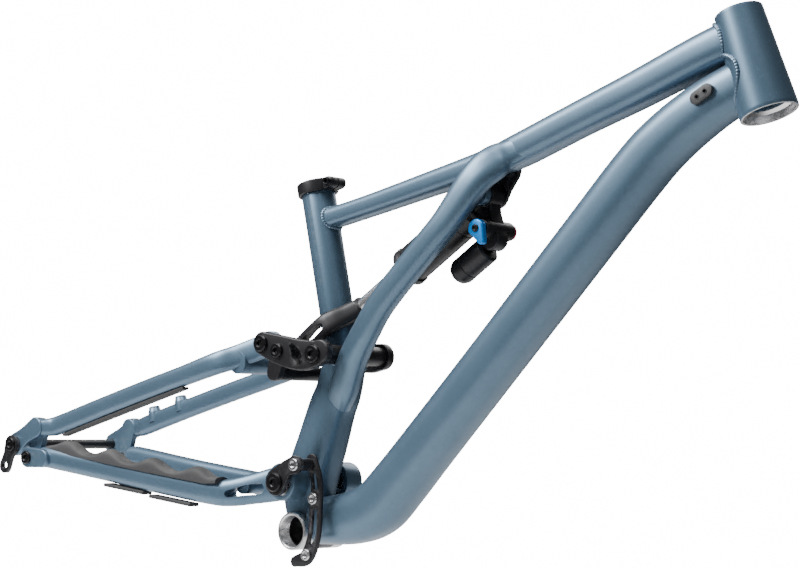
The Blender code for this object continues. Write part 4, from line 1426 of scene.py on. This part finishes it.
@dataclass
class Studio:
    """Floor, lights and camera."""

    floor_height: float = -0.42
    floor_radius: float = 1.4
    air_light: float = 0.09
    backdrop_light: float = 16.0
    azimuth: float = 40.70
    elevation: float = 1.06
    roll: float = 6.58
    location: Point = (1.46422, -1.60311, 0.32557)
    lens: float = 87.28

    def add_floor(self) -> None:
        """Lay a round pale floor, low enough that a level view passes over it."""
        angle = TURN * np.arange(96) / 96
        flat = self.floor_radius * np.stack([np.cos(angle), np.sin(angle)], axis=-1)
        rim = np.column_stack([flat, np.full(len(angle), self.floor_height)])
        mesh = bpy.data.meshes.new("studio_floor")
        mesh.from_pydata(rim.tolist(), [], [list(range(len(rim)))])
        paper = bpy.data.materials.new("studio_paper")
        paper.use_nodes = True
        shader = paper.node_tree.nodes["Principled BSDF"]
        shader.inputs["Base Color"].default_value = (0.93, 0.93, 0.935, 1)
        shader.inputs["Roughness"].default_value = 0.9
        mesh.materials.append(paper)
        floor = bpy.data.objects.new("studio_floor", mesh)
        bpy.context.scene.collection.objects.link(floor)

    def add_light(self, name: str, place: Point, size: float, power: float) -> None:
        """Add a soft square light that faces the frame.

        Args:
            name: Name of the light.
            place: Where it stands, in metres.
            size: Length of its side, in metres.
            power: Its power, in watts.
        """
        data = bpy.data.lights.new(name, "AREA")
        data.size = size
        data.energy = power
        lamp = bpy.data.objects.new(name, data)
        bpy.context.scene.collection.objects.link(lamp)
        back = np.array(place) - np.array([0.05, 0, 0.25])
        back /= np.linalg.norm(back)
        side = np.cross([0, 0, 1], back)
        side /= np.linalg.norm(side)
        up = np.cross(back, side)
        lamp.matrix_world = Matrix([[side[k], up[k], back[k], place[k]] for k in range(3)] + [[0, 0, 0, 1]])

    def add_camera(self) -> None:
        """Aim a camera from its azimuth and elevation, then roll it about its own axis."""
        a, e, r = (math.radians(v) for v in (self.azimuth, self.elevation, self.roll))
        right0 = np.array([math.cos(a), math.sin(a), 0])
        back = np.array([math.sin(a) * math.cos(e), -math.cos(a) * math.cos(e), math.sin(e)])
        up0 = np.cross(back, right0)
        right = math.cos(r) * right0 + math.sin(r) * up0
        up = -math.sin(r) * right0 + math.cos(r) * up0
        data = bpy.data.cameras.new("view_camera")
        data.lens = self.lens
        data.sensor_width = 36.0
        camera = bpy.data.objects.new("view_camera", data)
        bpy.context.scene.collection.objects.link(camera)
        rows = [[right[k], up[k], back[k], self.location[k]] for k in range(3)]
        camera.matrix_world = Matrix(rows + [[0, 0, 0, 1]])
        bpy.context.scene.camera = camera

    def build(self) -> None:
        """Set up the stage."""
        self.add_camera()
        self.add_floor()
        self.add_light("key_light", (-1.3, -1.8, 1.9), 1.5, 165)
        self.add_light("top_light", (0.2, -0.4, 2.5), 1.6, 60)
        self.add_light("rim_light", (-0.6, 1.8, 1.5), 1.4, 22)
        self.add_light("front_light", (2.3, -0.9, 0.7), 1.0, 3)
        world = bpy.data.worlds.new("studio_air")
        world.use_nodes = True
        tree = world.node_tree
        sky = tree.nodes["Background"]
        sky.inputs["Color"].default_value = (1.0, 1.0, 1.0, 1)
        sight = tree.nodes.new("ShaderNodeLightPath")
        strength = tree.nodes.new("ShaderNodeMapRange")
        strength.inputs["To Min"].default_value = self.air_light
        strength.inputs["To Max"].default_value = self.backdrop_light
        tree.links.new(sight.outputs["Is Camera Ray"], strength.inputs["Value"])
        tree.links.new(strength.outputs["Result"], sky.inputs["Strength"])
        bpy.context.scene.world = world


def main() -> None:
    """Build the stage and every sub-assembly."""
    logging.basicConfig(level=logging.INFO, format="%(message)s")
    grain_group()
    wear_group()
    dust_group()
    Studio().build()
    head = HeadTube()
    tubes = MainTubes(head)
    rear = (Chainstays(), Seatstays(), Rocker(), Shock())
    for part in (head, tubes, SeatClamp(tubes), *rear, FrontFittings()):
        part.build()
        LOG.info("finished %s", type(part).__name__)


if __name__ == "__main__":
    main()
